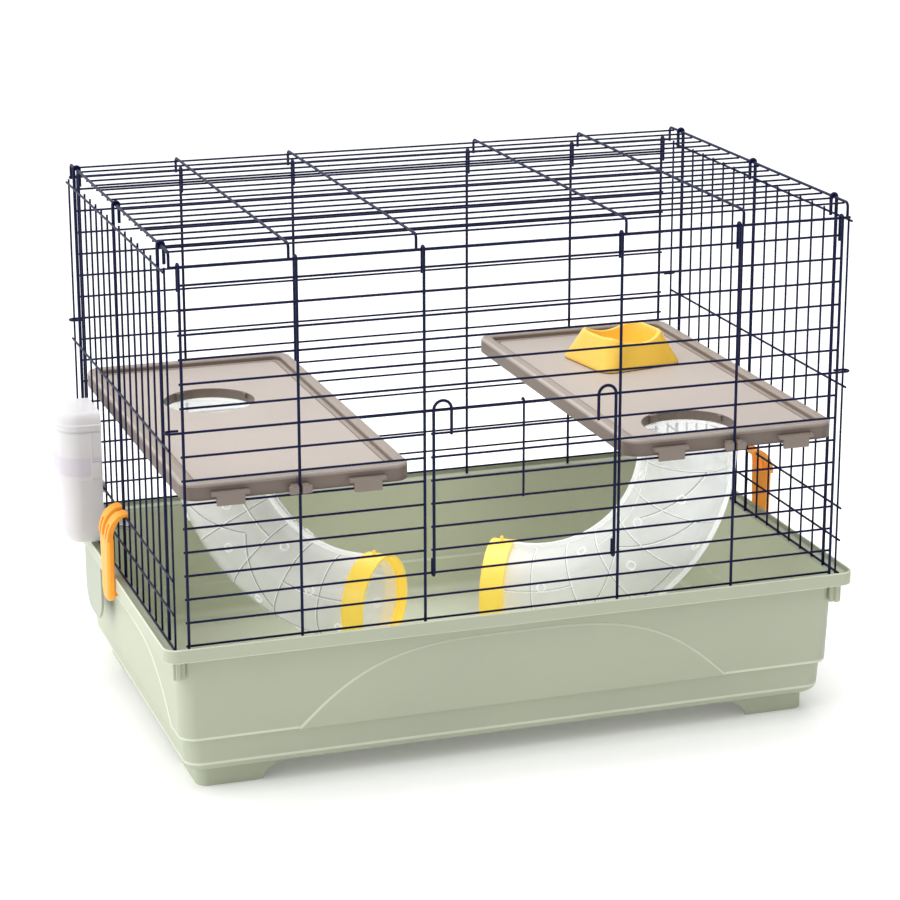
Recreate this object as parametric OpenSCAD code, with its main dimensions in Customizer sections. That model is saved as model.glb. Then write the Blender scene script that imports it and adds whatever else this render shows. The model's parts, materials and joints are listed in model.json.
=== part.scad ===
// Small-animal cage: a moulded tray, a wire top with a drop-down front door, two shelves,
// two elbow tubes with end rings, a bowl, a hang-on drinker and two side clips.
// Millimetres, +X right, +Y back, +Z up. z = 0 is the floor under the tray's feet.

/* [Tray] */
// Width over the rim
rim_w = 800; // [700:1:900]
// Depth over the rim
rim_d = 532; // [480:1:580]
// Height of the rim above the floor
tray_h = 175; // [160:1:195]
// Corner radius of the rim
rim_corner_r = 15; // [10:1:20]
// Height of the rim's outer skirt
skirt_h = 15.5; // [12:0.5:20]
// Thickness of the rim's outer skirt
skirt_t = 2.6; // [2:0.1:3.2]
// Wall thickness of the tray
tray_wall = 2.5; // [2:0.1:3]
// Depth of the channel that the wires stand in, below the rim
channel_depth = 6; // [4:0.5:9]
// How far the wall's top stands in from the rim
wall_inset_top = 15.5; // [15.5:0.5:17.5]
// How far the wall's foot stands in from the rim
wall_inset_low = 19; // [18:0.5:24]
// Height of the ledge round the lower wall
ledge_z = 62; // [50:1:70]
// Width of that ledge
ledge_step = 4.5; // [3:0.5:7]
// How far the wall leans in below the ledge
low_lean = 1.5; // [1:0.5:4]
// Radius of the rounded lower edge
edge_round = 12; // [8:0.5:16]
// Height of the tray's underside above the floor
base_z = 22; // [18:1:28]
// Corner radius of the wall
wall_corner_r = 18; // [14:1:24]

/* [Tray feet and relief] */
// Length of each foot along a side
foot_len = 73; // [50:1:110]
// Length of the hollow sweep beside each foot
foot_sweep = 44; // [20:1:55]
// Thickness of a foot's wall
foot_t = 3; // [2:0.1:5]
// How far a foot stands in from the underside's edge
foot_inset = 3; // [1:0.5:5]
// Half the length of the raised arch on the front and back walls
arch_half_front = 250; // [180:1:270]
// Height of that arch above the ledge
arch_h = 83; // [50:1:90]
// Half the length of the raised arch on the side walls
side_arch_half = 203; // [170:1:215]
// Height of that arch above the ledge
side_arch_h = 66; // [45:1:85]
// How far the arches stand proud of the wall
arch_proud = 1.2; // [0.8:0.1:2]
// Length of the grip tongue under the side rim
tongue_len = 88; // [70:1:110]
// How far the tongue hangs below the rim
tongue_drop = 85; // [60:1:95]
// Distance of the tongue's middle behind the tray's middle
tongue_back = 112; // [100:1:125]
// Thickness of the tongue
tongue_t = 3; // [2:0.1:4]
// Radius of the tongue's lower corners
tongue_r = 30; // [10:1:38]
// Height of the small ribs under the rim
stack_rib_h = 30; // [20:1:36]
// Thickness of the small ribs under the rim
stack_rib_t = 5; // [3:0.5:7]
// Distance from the rim's edge to those ribs
stack_rib_inset = 16; // [14:0.5:20]
// How far those ribs reach in from the rim's edge
stack_rib_reach = 24; // [20:0.5:28]

/* [Wires] */
// Diameter of the heavy wires
heavy_d = 3; // [2.6:0.1:3.4]
// Diameter of the thin wires of the front, back and roof
cross_d = 2.2; // [1.8:0.1:2.6]
// Diameter of the thin side uprights
side_d = 2; // [1.6:0.1:2.4]
// How deep a weld sinks one wire into the next
weld = 0.15; // [0.1:0.01:0.2]
// Gap between a hook and the wire inside it
hook_clear = 0.3; // [0.2:0.05:0.5]
// Distance from the rim's edge to the front and back uprights
panel_inset = 10; // [8:0.5:11]
// Distance from the rim's edge to the heavy side uprights
side_inset = 16.2; // [15.6:0.1:17]
// Vertical distance between the crosswires of the front and back
wire_pitch = 26; // [24:0.5:28]
// How far the lowest crosswire lies below the rim
bottom_wire_drop = 1; // [0:0.1:2]
// How much higher the back panel's crosswires lie than the front panel's
back_rise = 4; // [0:0.5:6]
// Length of the hooks' return legs on the front and back
hook_leg = 26; // [10:1:35]
// Length of the hooks' return legs on the sides
side_hook_leg = 20; // [8:1:28]
// Distance from the heavy side uprights to the outermost front uprights
corner_gap = 11.8; // [9:0.1:16]
// Distance from the first front upright to the second
upright_gap_left = 124; // [112:1:136]
// Place of the third front upright, left of the middle
upright_3_x = 110; // [100:1:120]
// Place of the fourth front upright, right of the middle
upright_4_x = 113; // [104:1:122]
// Distance from the fifth front upright to the sixth
upright_gap_right = 122; // [110:1:134]
// Height of the roof's edge rails above the top crosswire
roof_rail_rise = 19; // [14:1:26]
// Height of the roof's cross wires above the edge rails
roof_rise = 16; // [12:1:22]
// Bend radius at the ends of the roof's cross wires
roof_bend_r = 5; // [3:0.5:8]
// Distance from a front upright to the roof cross wire beside it
roof_wire_gap = 6.5; // [5:0.5:10]
// Distance from the roof's edge to its first long wire
roof_margin = 27; // [25:0.5:31]
// Number of long wires in the roof
roof_long_count = 18; // [14:1:22]
// Distance from the rim's edge to the first side upright
side_margin = 20; // [18:0.5:22]
// How far the side rails and uprights reach past each other
rail_end = 4; // [2:0.5:5]
// How far the crosswires reach past the outermost uprights
crosswire_end = 2.5; // [1:0.5:4]
// How far the roof's edge rails reach past its end wires
edge_rail_end = 2; // [1.6:0.1:4]
// Length of the loops' return legs at the corners
loop_leg = 10; // [6:1:16]
// Top side rail, below the roof's cross wires
side_rail_1_drop = 21; // [15:1:27]
// Second side rail, above the rim
side_rail_2_h = 214; // [200:1:225]
// Third side rail, above the rim
side_rail_3_h = 72; // [66:1:78]
// Fourth side rail, above the rim
side_rail_4_h = 34; // [32:1:38]

/* [Door] */
// Distance from the third front upright to the door's left side wire
door_gap_left = 10; // [6:0.5:14]
// Distance from the fourth front upright to the door's right side wire
door_gap_right = 5; // [4.6:0.1:9]
// Gap between the door's hinge loops and the wire inside them
hinge_clear = 0.35; // [0.25:0.05:0.45]
// Length of the hinge loops above the hinge wire
hinge_leg = 15; // [8:0.5:20]
// Height of the door's arches above the crosswire that they close on
door_arch_rise = 10.5; // [8:0.5:14]
// Radius of the door's arches
door_arch_r = 10; // [7:0.5:14]
// How far the door's crosswires reach past its side wires
door_wire_end = 0.4; // [0.2:0.1:0.5]
// How far the panel's cut crosswires reach past the uprights beside the door
cut_wire_end = 0.5; // [0.3:0.1:0.8]
// Sideways place of the latch wire
latch_x = 2; // [-10:1:12]
// Gap between the latch hook and the crosswire's swing circle
latch_clear = 0.5; // [0.3:0.1:1]

/* [Shelves] */
// Width of a shelf
shelf_w = 250; // [235:1:254]
// Height of a shelf's border
shelf_h = 19; // [17:0.5:22]
// Gap between a shelf and the crosswires in front of it and behind it
shelf_gap = 1.4; // [1:0.1:2.4]
// Wall thickness of a shelf
shelf_wall = 2.5; // [2:0.1:3]
// Width of the raised border
border_w = 14; // [11:0.5:15]
// Depth of the deck below the border
deck_drop = 6; // [4:0.5:7.5]
// Corner radius of a shelf
shelf_corner_r = 18; // [12:1:24]
// Radius of the hole in a shelf
hole_r = 52; // [48:0.5:53]
// Depth of the collar under the hole
collar_h = 11; // [8:0.5:12]
// Width of the wide shelf clips
clip_w = 37; // [28:1:48]
// Distance of the wide shelf clips from the shelf's middle
clip_offset = 75; // [60:1:85]
// Height of a shelf clip over its wire
clip_bridge = 10; // [6:0.5:10]
// Thickness of a shelf clip's top plate
clip_plate = 4; // [2:0.5:6]
// How far the top plate reaches past the clip on each side
clip_side = 2; // [1:0.5:4]
// How far a shelf clip's lip hangs below its bridge
clip_lip = 5; // [3:0.5:7]
// Thickness of a shelf clip's lip
clip_lip_t = 3.2; // [2:0.1:4]
// Height of a shelf's lower edge above its clips' undersides
shelf_rise = 0.6; // [0:0.1:2]
// Width of a forked clip's prongs
fork_prong = 8; // [5:0.5:12]
// How far a forked clip's prongs reach past the upright
fork_reach = 2.5; // [1:0.5:5]
// Gap between a shelf clip and the wires it sits on
rest_gap = 0.3; // [0.2:0.05:0.5]

/* [Tubes] */
// Left hole, sideways from the shelf's middle
left_hole_x = -14; // [-20:1:20]
// Distance of the left hole's middle from the back edge of its shelf
left_hole_back = 168.5; // [130:0.5:200]
// Right hole, sideways from the shelf's middle
right_hole_x = -25; // [-32:1:20]
// Distance of the right hole's middle from the front edge of its shelf
right_hole_front = 67; // [67:0.5:130]
// Direction of the left tube, in degrees from +X
left_turn = -45; // [-60:1:0]
// Direction of the right tube, in degrees from +X
right_turn = 147; // [115:1:160]
// Outer radius of a tube
tube_r = 51; // [47:0.5:51.5]
// Wall thickness of a tube
tube_wall = 2.5; // [2:0.1:3]
// Radius over the flanges of a tube's two halves
flange_r = 56; // [54:0.5:57]
// Thickness of each half's flange
flange_t = 2; // [1.5:0.1:3]
// Bend radius of a tube, as a share of the rim's width
bend_share = 0.2325; // [0.21:0.0025:0.24]
// Straight length of a tube between its socket and its bend
tube_neck = 14; // [4:1:40]
// Straight length at a tube's lower end
tube_tail = 31; // [22:1:40]
// Gap between a tube's socket and the shelf's collar
socket_gap = 0.3; // [0.2:0.05:0.5]
// Thickness of a tube's socket
socket_t = 2.7; // [2:0.1:3]
// Length of an end ring
ring_len = 27; // [20:1:34]
// How far an end ring grips the tube
ring_grip = 16; // [12:1:18]
// Wall thickness of an end ring
ring_wall = 5.2; // [4:0.1:6]
// Gap between an end ring and the tube
ring_gap = 0.3; // [0.2:0.05:0.5]
// Height of the lug on an end ring
ring_lug_h = 6; // [4:0.5:8]
// Width and length of that lug
ring_lug_w = 6; // [4:0.5:9]
// Distance from the ring's grip to the flanges' ends
flange_gap = 1; // [0.4:0.1:2]

/* [Bowl] */
// Bowl's place, sideways from the right shelf's middle
bowl_x = 8; // [-10:1:20]
// Distance of the bowl's middle from the back edge of its shelf
bowl_back = 153; // [120:1:190]
// Bowl's turn, in degrees
bowl_turn = 10; // [-30:1:30]
// Bowl's width at its foot
bowl_w = 112; // [90:1:124]
// Bowl's depth at its foot
bowl_d = 106; // [90:1:116]
// Bowl's height
bowl_h = 38; // [30:1:48]
// Slope of the bowl's sides, as an inset at the rim
bowl_inset = 13; // [9:0.5:17]
// Width of the bowl's rim
bowl_lip = 4; // [3:0.5:7]
// Thickness of the bowl's floor
bowl_floor = 7; // [4:0.5:10]
// Depth of the dips in the bowl's front and back edges
bowl_dip = 9; // [5:0.5:13]
// Radius of those dips
bowl_dip_r = 60; // [45:1:80]
// Corner radius at the bowl's foot
bowl_foot_r = 15; // [10:1:20]
// Corner radius at the bowl's rim
bowl_top_r = 26; // [18:1:32]
// Bevel round the bowl's foot and rim
bowl_bevel = 2.5; // [1:0.5:4]
// Slope of the bowl's inside, as an inset at its floor
bowl_scoop = 10; // [6:0.5:14]

/* [Drinker] */
// Distance of the drinker's middle behind the middle of its hooks
drinker_offset = 8.4; // [0:0.1:10]
// Width of the drinker
drinker_w = 74; // [66:1:80]
// How far the drinker stands out from the wires
drinker_out = 45; // [38:1:52]
// Height of the drinker's bottle
bottle_h = 146; // [130:1:160]
// Gap between the bottle and the tray's rim
bottle_lift = 3; // [2:0.5:8]
// Wall thickness of the bottle and lid
bottle_wall = 2; // [1.6:0.1:2.6]
// Corner radius of the bottle
bottle_r = 21; // [16:1:24]
// Height of the lid's dome above the bottle
lid_dome = 15; // [10:1:22]
// Depth of the lid's skirt over the bottle
lid_skirt = 6; // [4:0.5:10]
// Gap between the lid and the bottle
lid_gap = 0.3; // [0.2:0.05:0.5]
// How far the lid's flat top stands in from the bottle's outline
dome_inset = 8; // [4:0.5:12]
// Width of the drinker's hooks
drinker_hook_w = 16; // [12:0.5:20]
// Depth of the drinker's hooks behind the rail
drinker_hook_drop = 8; // [5:0.5:9]
// Thickness of those hooks behind the rail
drinker_hook_t = 2.2; // [1.6:0.1:3]
// Thickness of those hooks over the rail
drinker_bridge = 4; // [2.5:0.5:6]
// Outer radius of the spout
spout_r = 4; // [3.5:0.1:4.5]
// Length of the spout
spout_len = 42; // [30:1:55]
// Downward slope of the spout, in degrees
spout_slope = 12; // [6:1:18]
// Height of the spout's root above the bottle's bottom
spout_root_h = 13; // [11:0.5:16]
// How far the spout reaches into the bottle
spout_in = 4; // [3:0.5:8]
// Gap between the spout and its hole
spout_gap = 0.15; // [0.1:0.05:0.3]
// Radius of the steel ball in the spout
ball_r = 2.6; // [2.4:0.1:2.7]
// Gap between the steel ball and the spout
ball_gap = 0.2; // [0.1:0.05:0.3]
// How much narrower the spout's mouth is than its ball
mouth_step = 0.6; // [0.4:0.1:0.8]
// Thickness of the spout's mouth
mouth_t = 1.5; // [1:0.1:2.5]

/* [Clips] */
// Width of a side clip's body
side_clip_w = 42; // [34:1:46]
// Width of a side clip at its lower end
side_clip_low_w = 34; // [26:1:40]
// Thickness of a side clip's body
side_clip_t = 8; // [5:0.5:10]
// Gap between a side clip and the rim
side_clip_gap = 0.6; // [0.4:0.1:1]
// Length of a side clip below the rim's skirt
side_clip_tail = 15.5; // [11:0.5:24]
// Width of each hooking finger
finger_w = 18; // [12:0.5:20]
// Gap between the two fingers
finger_gap = 11; // [8:0.5:14]
// Thickness of the hook round the rail
finger_t = 3.2; // [2.4:0.1:3.6]
// Distance from the rail down to where the fingers straighten
finger_bend = 26; // [18:1:34]
// Thickness of the fingers where they leave the body
finger_root = 6.5; // [4:0.5:8]
// Width of the slots in the fingers
finger_slot_w = 6; // [4:0.5:8]
// Length of the slots in the fingers
finger_slot_h = 18; // [10:1:22]
// Gap between the catch and the rim's skirt
catch_gap = 0.8; // [0.7:0.1:1.2]
// Height of the catch under the rim
catch_h = 7; // [4:0.5:9]
// How far the catch reaches under the rim
catch_in = 4; // [2.5:0.5:6]

/* [Hidden] */

// Colours
tray_colour = [0.65, 0.67, 0.57];
wire_colour = [0.09, 0.10, 0.25];
shelf_colour = [0.83, 0.77, 0.73];
tube_colour = [0.90, 0.93, 0.93, 0.45];
yellow = [0.97, 0.80, 0.25];
orange = [0.96, 0.62, 0.16];
frosted = [0.92, 0.91, 0.92, 0.7];
steel = [0.75, 0.76, 0.78];

// Facets of round things: wires, large rounds and the children of a hull
wire_fn = 24;
round_fn = 64;
hull_fn = 32;

// Heights
channel_z = tray_h - channel_depth;
base_inset = wall_inset_low + ledge_step + low_lean + edge_round;
crosswire_count = 16;
bottom_wire_z = tray_h - bottom_wire_drop;
roof_rail_z = level(1) + roof_rail_rise;
roof_z = roof_rail_z + roof_rise;
side_rail_z = [roof_z - side_rail_1_drop, tray_h + side_rail_2_h, tray_h + side_rail_3_h,
    tray_h + side_rail_4_h, channel_z + cross_d / 2];

// Places of the wires
panel_y = rim_d / 2 - panel_inset;
hook_r = heavy_d + hook_clear;
edge_rail_y = panel_y - hook_r;
cross_y = panel_y - heavy_d / 2 - cross_d / 2 + weld;
heavy_side_x = rim_w / 2 - side_inset;
side_rail_x = heavy_side_x + heavy_d / 2 + cross_d / 2 - weld;
thin_side_x = side_rail_x - cross_d / 2 - side_d / 2 + weld;
end_cross_x = heavy_side_x - hook_r;
outer_upright_x = heavy_side_x - corner_gap;
upright_2_x = outer_upright_x - upright_gap_left;
upright_5_x = outer_upright_x - upright_gap_right;
upright_xs = [-outer_upright_x, -upright_2_x, -upright_3_x, upright_4_x, upright_5_x, outer_upright_x];
crosswire_end_x = outer_upright_x + heavy_d / 2 + crosswire_end;
side_count = 17;
side_hooks = [1, 8, 15];
side_edge_y = rim_d / 2 - side_margin;
side_pitch = 2 * side_edge_y / (side_count - 1);

// The loops at the ends of the seventh crosswire go round the first side uprights
loop_level = 7;
loop_return_y = side_edge_y - side_d / 2 - cross_d / 2 - hook_clear;
loop_r = (cross_y - loop_return_y) / 2;

// Door
door_top_level = 8;
door_low_level = 13;
hinge_level = 14;
hinge_r = cross_d / 2 + hinge_clear + heavy_d / 2;
door_y = -cross_y - hinge_r;
door_xs = [-upright_3_x + door_gap_left, upright_4_x - door_gap_right];
door_cross_y = door_y + heavy_d / 2 + cross_d / 2 - weld;
latch_y = door_cross_y - cross_d + weld;
latch_low_level = 11;
latch_r = -cross_y - latch_y;
latch_rise = cross_d / 2 + latch_clear;

// Shelves
shelf_level = 10;
shelf_xs = [-upright_2_x, upright_5_x];
shelf_d = 2 * (cross_y - cross_d / 2 - shelf_gap);
clip_under_z = level(shelf_level) + cross_d / 2 + rest_gap;
shelf_z = clip_under_z + shelf_rise;
shelf_top_z = shelf_z + shelf_h;
deck_z = shelf_top_z - deck_drop;
deck_under_z = deck_z - shelf_wall;
collar_r = hole_r + shelf_wall;
lip_y = cross_y + cross_d / 2 + rest_gap;
fork_slot = heavy_d + 2 * rest_gap;

// Tubes and rings
tube_xs = [shelf_xs[0] + left_hole_x, shelf_xs[1] + right_hole_x];
tube_ys = [shelf_d / 2 - left_hole_back, right_hole_front - shelf_d / 2];
tube_turns = [left_turn, right_turn];
bore_r = tube_r - tube_wall;
bend_r = rim_w * bend_share;
ring_bore_r = tube_r + ring_gap;
ring_r = ring_bore_r + ring_wall;
socket_in_r = collar_r + socket_gap;
socket_r = socket_in_r + socket_t;
socket_top_z = deck_under_z - rest_gap;
socket_low_z = deck_z - collar_h - rest_gap;
bend_top_z = socket_low_z - tube_wall - tube_neck;
tail_z = bend_top_z - bend_r;
tail_x = bend_r + tube_tail;
flange_end_x = tail_x - ring_grip - flange_gap;

// Drinker
bottle_back_x = side_rail_x + cross_d / 2 + rest_gap;
bottle_z = tray_h + bottle_lift;
bottle_out_x = bottle_back_x + drinker_out;
lid_reach = lid_gap + bottle_wall;
drinker_hook_ys = [for (k = [11, 12]) side_pitch * (k + 0.5) - side_edge_y];
drinker_y = (drinker_hook_ys[0] + drinker_hook_ys[1]) / 2 + drinker_offset;
spout_y = drinker_hook_ys[1];
spout_z = bottle_z + spout_root_h;

// Side clips
rail_3_z = side_rail_z[2];
clip_in_x = rim_w / 2 + side_clip_gap;
clip_out_x = clip_in_x + side_clip_t;
clip_low_z = tray_h - skirt_h - side_clip_tail;
catch_top_z = tray_h - skirt_h - catch_gap;
rail_bore_r = cross_d / 2 + rest_gap;
finger_r = rail_bore_r + finger_t;
clip_bend_z = rail_3_z - finger_bend;

// Sideways shift that puts the origin under the middle of the whole object
frame_x = (bottle_out_x + lid_reach - clip_out_x) / 2;

// Height of crosswire i, counted from the top, and its height in the panel on side s
function level(i) = bottom_wire_z + (crosswire_count - i) * wire_pitch;
function cross_z(s, i) = level(i) + (s > 0 ? back_rise : 0);

module to_frame() translate([frame_x, 0, 0]) children();

// A straight round wire from a to b
module wire(a, b, d) {
    v = b - a;
    l = norm(v);
    translate(a) rotate([0, acos(v.z / l), atan2(v.y, v.x)]) cylinder(h = l, d = d, $fn = wire_fn);
}

// A bent wire in its own XY plane, from angle a0 through sweep degrees
module bent(r, d, a0, sweep)
    rotate([0, 0, a0]) rotate_extrude(angle = sweep, $fn = round_fn)
        translate([r, 0]) circle(d = d, $fn = wire_fn);

// The same bends stood up in the YZ plane and in the XZ plane
module bent_yz(c, r, d, a0, sweep) translate(c) rotate([90, 0, 90]) bent(r, d, a0, sweep);
module bent_xz(c, r, d, a0, sweep) translate(c) rotate([90, 0, 0]) bent(r, d, a0, sweep);

module rounded_rect(w, d, r) {
    square([w - 2 * r, d], center = true);
    square([w, d - 2 * r], center = true);
    for (x = [-1, 1], y = [-1, 1])
        translate([x * (w / 2 - r), y * (d / 2 - r)]) circle(r, $fn = round_fn);
}

module plate(w, d, r, z, t) translate([0, 0, z]) linear_extrude(t) rounded_rect(w, d, r);

// ---- Tray ----

// Four thin corner posts, inset from the rim, for the hulls
module slab(inset, z, r) for (x = [-1, 1], y = [-1, 1])
    translate([x * (rim_w / 2 - inset - r), y * (rim_d / 2 - inset - r), z])
        cylinder(h = 0.01, r = r, $fn = hull_fn);

// The tray's outer body, or with grow its inner space
module tray_space(grow) {
    top_z = grow > 0 ? channel_z + 1 : channel_z - 0.01;
    r = wall_corner_r - grow;
    low_top_z = grow > 0 ? ledge_z + grow + 1 : ledge_z;
    round_z = base_z + edge_round;
    hull() {
        slab(wall_inset_top + grow, top_z, r);
        slab(wall_inset_low + grow, ledge_z + grow, r);
    }
    hull() {
        slab(wall_inset_low + ledge_step + grow, low_top_z, r);
        for (a = [0:22.5:90])
            slab(base_inset - (edge_round - grow) * cos(a), round_z - (edge_round - grow) * sin(a), r);
    }
}

// Outline of a raised arch, flat on its base line
module arch_outline(half, h)
    polygon([for (a = [0:7.5:180]) [half * cos(a), h * pow(1 - pow(abs(cos(a)), 3.5), 1.1)]]);

// Lays a relief on a wall whose foot is at distance reach from the middle
module relief(reach) {
    lean = atan((wall_inset_low - wall_inset_top) / (channel_z - ledge_z));
    translate([0, -reach, ledge_z]) rotate([90 + lean, 0, 0])
        translate([0, 0, -tray_wall / 2]) linear_extrude(tray_wall / 2 + arch_proud) children();
}

// One wall of a foot: flat for foot_len, then swept up in a quarter round to the underside
module foot_wall(at_x, at_y, turn)
    translate([at_x, at_y, 0]) rotate([0, 0, turn]) rotate([90, 0, 0]) translate([0, 0, -foot_t])
        linear_extrude(foot_t) difference() {
            square([foot_len + foot_sweep, base_z + 1]);
            polygon(concat([[foot_len, -1]],
                [for (a = [0:10:90]) [foot_len + foot_sweep * (1 - cos(a)), base_z * sin(a)]],
                [[foot_len + foot_sweep + 1, base_z], [foot_len + foot_sweep + 1, -1]]));
        }

module feet() {
    x = rim_w / 2 - base_inset - foot_inset;
    y = rim_d / 2 - base_inset - foot_inset;
    for (mx = [0, 1], my = [0, 1]) mirror([mx, 0, 0]) mirror([0, my, 0]) {
        foot_wall(-x, -y, 0);
        translate([-x, -y, 0]) mirror([1, 0, 0]) rotate([0, 0, 90]) foot_wall(0, 0, 0);
    }
}

// The grip tongue, flush with the rim's side face
module tongue()
    translate([rim_w / 2 - tongue_t, tongue_back, tray_h - tongue_drop])
        rotate([90, 0, 90]) linear_extrude(tongue_t) {
            h = tongue_drop - skirt_h;
            translate([-tongue_len / 2, tongue_r]) square([tongue_len, h - tongue_r + 1]);
            translate([tongue_r - tongue_len / 2, 0]) square([tongue_len - 2 * tongue_r, tongue_r + 1]);
            for (s = [-1, 1])
                translate([s * (tongue_len / 2 - tongue_r), tongue_r]) circle(tongue_r, $fn = round_fn);
        }

// Small ribs between the rim's skirt and the wall, beside each corner
module stack_ribs() {
    start = skirt_t - 0.5;
    depth = stack_rib_reach - start;
    z = channel_z - tray_wall - stack_rib_h;
    for (mx = [0, 1], my = [0, 1]) mirror([mx, 0, 0]) mirror([0, my, 0]) {
        translate([rim_w / 2 - stack_rib_inset - stack_rib_t / 2, rim_d / 2 - stack_rib_reach, z])
            cube([stack_rib_t, depth, stack_rib_h + 1]);
        translate([rim_w / 2 - stack_rib_reach, rim_d / 2 - stack_rib_inset - stack_rib_t / 2, z])
            cube([depth, stack_rib_t, stack_rib_h + 1]);
    }
}

module tray() color(tray_colour) to_frame() {
    inner = 2 * (wall_inset_top + tray_wall);
    // Rim with its channel
    difference() {
        plate(rim_w, rim_d, rim_corner_r, tray_h - skirt_h, skirt_h);
        plate(rim_w - 2 * skirt_t, rim_d - 2 * skirt_t, rim_corner_r - skirt_t,
            tray_h - skirt_h - 1, skirt_h + 2);
    }
    difference() {
        plate(rim_w - 1, rim_d - 1, rim_corner_r - 0.5, channel_z - tray_wall, tray_wall);
        plate(rim_w - inner, rim_d - inner, wall_corner_r - tray_wall,
            channel_z - tray_wall - 1, tray_wall + 2);
    }
    difference() {
        union() {
            tray_space(0);
            for (turn = [0, 180]) {
                rotate([0, 0, turn]) relief(rim_d / 2 - wall_inset_low)
                    arch_outline(arch_half_front, arch_h);
                rotate([0, 0, turn + 90]) relief(rim_w / 2 - wall_inset_low)
                    arch_outline(side_arch_half, side_arch_h);
            }
        }
        tray_space(tray_wall);
    }
    feet();
    stack_ribs();
    for (m = [0, 1]) mirror([m, 0, 0]) tongue();
}

// ---- Front and back panels ----

// Six heavy uprights, each hooked over the roof's edge rail; s is -1 for the front, 1 for the back
module panel_uprights(s) for (x = upright_xs) {
    wire([x, s * panel_y, channel_z], [x, s * panel_y, roof_rail_z], heavy_d);
    bent_yz([x, s * edge_rail_y, roof_rail_z], hook_r, heavy_d, 0, 180);
    wire([x, s * (panel_y - 2 * hook_r), roof_rail_z - hook_leg],
        [x, s * (panel_y - 2 * hook_r), roof_rail_z], heavy_d);
}

module crosswire(s, i, x0, x1)
    wire([x0, s * cross_y, cross_z(s, i)], [x1, s * cross_y, cross_z(s, i)], cross_d);

// The crosswire whose ends loop round the first side uprights
module looped_crosswire(s) {
    z = cross_z(s, loop_level);
    wire([-thin_side_x, s * cross_y, z], [thin_side_x, s * cross_y, z], cross_d);
    for (m = [0, 1]) mirror([m, 0, 0]) {
        translate([thin_side_x, s * (cross_y - loop_r), z]) bent(loop_r, cross_d, -90, 180);
        wire([thin_side_x - loop_leg, s * loop_return_y, z], [thin_side_x, s * loop_return_y, z], cross_d);
    }
}

module front_panel_uprights() color(wire_colour) to_frame() panel_uprights(-1);
module back_panel_uprights() color(wire_colour) to_frame() panel_uprights(1);

module front_panel_crosswires() color(wire_colour) to_frame() {
    cut_left = -upright_3_x + heavy_d / 2 + cut_wire_end;
    cut_right = upright_4_x - heavy_d / 2 - cut_wire_end;
    for (i = [1:crosswire_count]) {
        if (i == loop_level) looped_crosswire(-1);
        else if (i >= door_top_level && i <= door_low_level) {
            crosswire(-1, i, -crosswire_end_x, cut_left);
            crosswire(-1, i, cut_right, crosswire_end_x);
        }
        else crosswire(-1, i, -crosswire_end_x, crosswire_end_x);
    }
}

module back_panel_crosswires() color(wire_colour) to_frame()
    for (i = [1:crosswire_count]) {
        if (i == loop_level) looped_crosswire(1);
        else crosswire(1, i, -crosswire_end_x, crosswire_end_x);
    }

// ---- Side panels; s is -1 for the left, 1 for the right ----

module side_uprights(s) for (k = [0:side_count - 1]) if (len(search(k, side_hooks)) == 0) {
    y = k * side_pitch - side_edge_y;
    wire([s * thin_side_x, y, channel_z], [s * thin_side_x, y, side_rail_z[0] + rail_end], side_d);
}

module side_hook_wires(s) for (k = side_hooks) {
    y = k * side_pitch - side_edge_y;
    wire([s * heavy_side_x, y, channel_z], [s * heavy_side_x, y, roof_z], heavy_d);
    bent_xz([s * end_cross_x, y, roof_z], hook_r, heavy_d, 0, 180);
    wire([s * (heavy_side_x - 2 * hook_r), y, roof_z - side_hook_leg],
        [s * (heavy_side_x - 2 * hook_r), y, roof_z], heavy_d);
}

module side_rails(s) for (z = side_rail_z)
    wire([s * side_rail_x, -side_edge_y - rail_end, z],
        [s * side_rail_x, side_edge_y + rail_end, z], cross_d);

module left_panel_uprights() color(wire_colour) to_frame() side_uprights(-1);
module left_panel_hook_wires() color(wire_colour) to_frame() side_hook_wires(-1);
module left_panel_rails() color(wire_colour) to_frame() side_rails(-1);
module right_panel_uprights() color(wire_colour) to_frame() side_uprights(1);
module right_panel_hook_wires() color(wire_colour) to_frame() side_hook_wires(1);
module right_panel_rails() color(wire_colour) to_frame() side_rails(1);

// ---- Roof ----

module roof_long_wires() color(wire_colour) to_frame() {
    half = rim_d / 2 - roof_margin;
    z = roof_z - heavy_d / 2 - cross_d / 2 + weld;
    end_x = end_cross_x + cross_d / 2;
    for (k = [0:roof_long_count - 1]) {
        y = half * (2 * k / (roof_long_count - 1) - 1);
        wire([-end_x, y, z], [end_x, y, z], cross_d);
    }
}

// Six cross wires, bent down at both ends onto the edge rails
module roof_cross_wires() color(wire_colour) to_frame() {
    stub_y = edge_rail_y - heavy_d + weld;
    run_y = stub_y - roof_bend_r;
    mid_xs = [for (i = [1:4]) upright_xs[i] + (i < 3 ? -1 : 1) * roof_wire_gap];
    xs = concat([-end_cross_x], mid_xs, [end_cross_x]);
    for (x = xs) {
        wire([x, -run_y, roof_z], [x, run_y, roof_z], heavy_d);
        bent_yz([x, run_y, roof_z - roof_bend_r], roof_bend_r, heavy_d, 0, 90);
        bent_yz([x, -run_y, roof_z - roof_bend_r], roof_bend_r, heavy_d, 90, 90);
        for (s = [-1, 1])
            wire([x, s * stub_y, roof_rail_z - heavy_d / 2], [x, s * stub_y, roof_z - roof_bend_r], heavy_d);
    }
}

module roof_edge_rails() color(wire_colour) to_frame() for (s = [-1, 1])
    wire([-end_cross_x - edge_rail_end, s * edge_rail_y, roof_rail_z],
        [end_cross_x + edge_rail_end, s * edge_rail_y, roof_rail_z], heavy_d);

// ---- Door ----

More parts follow.
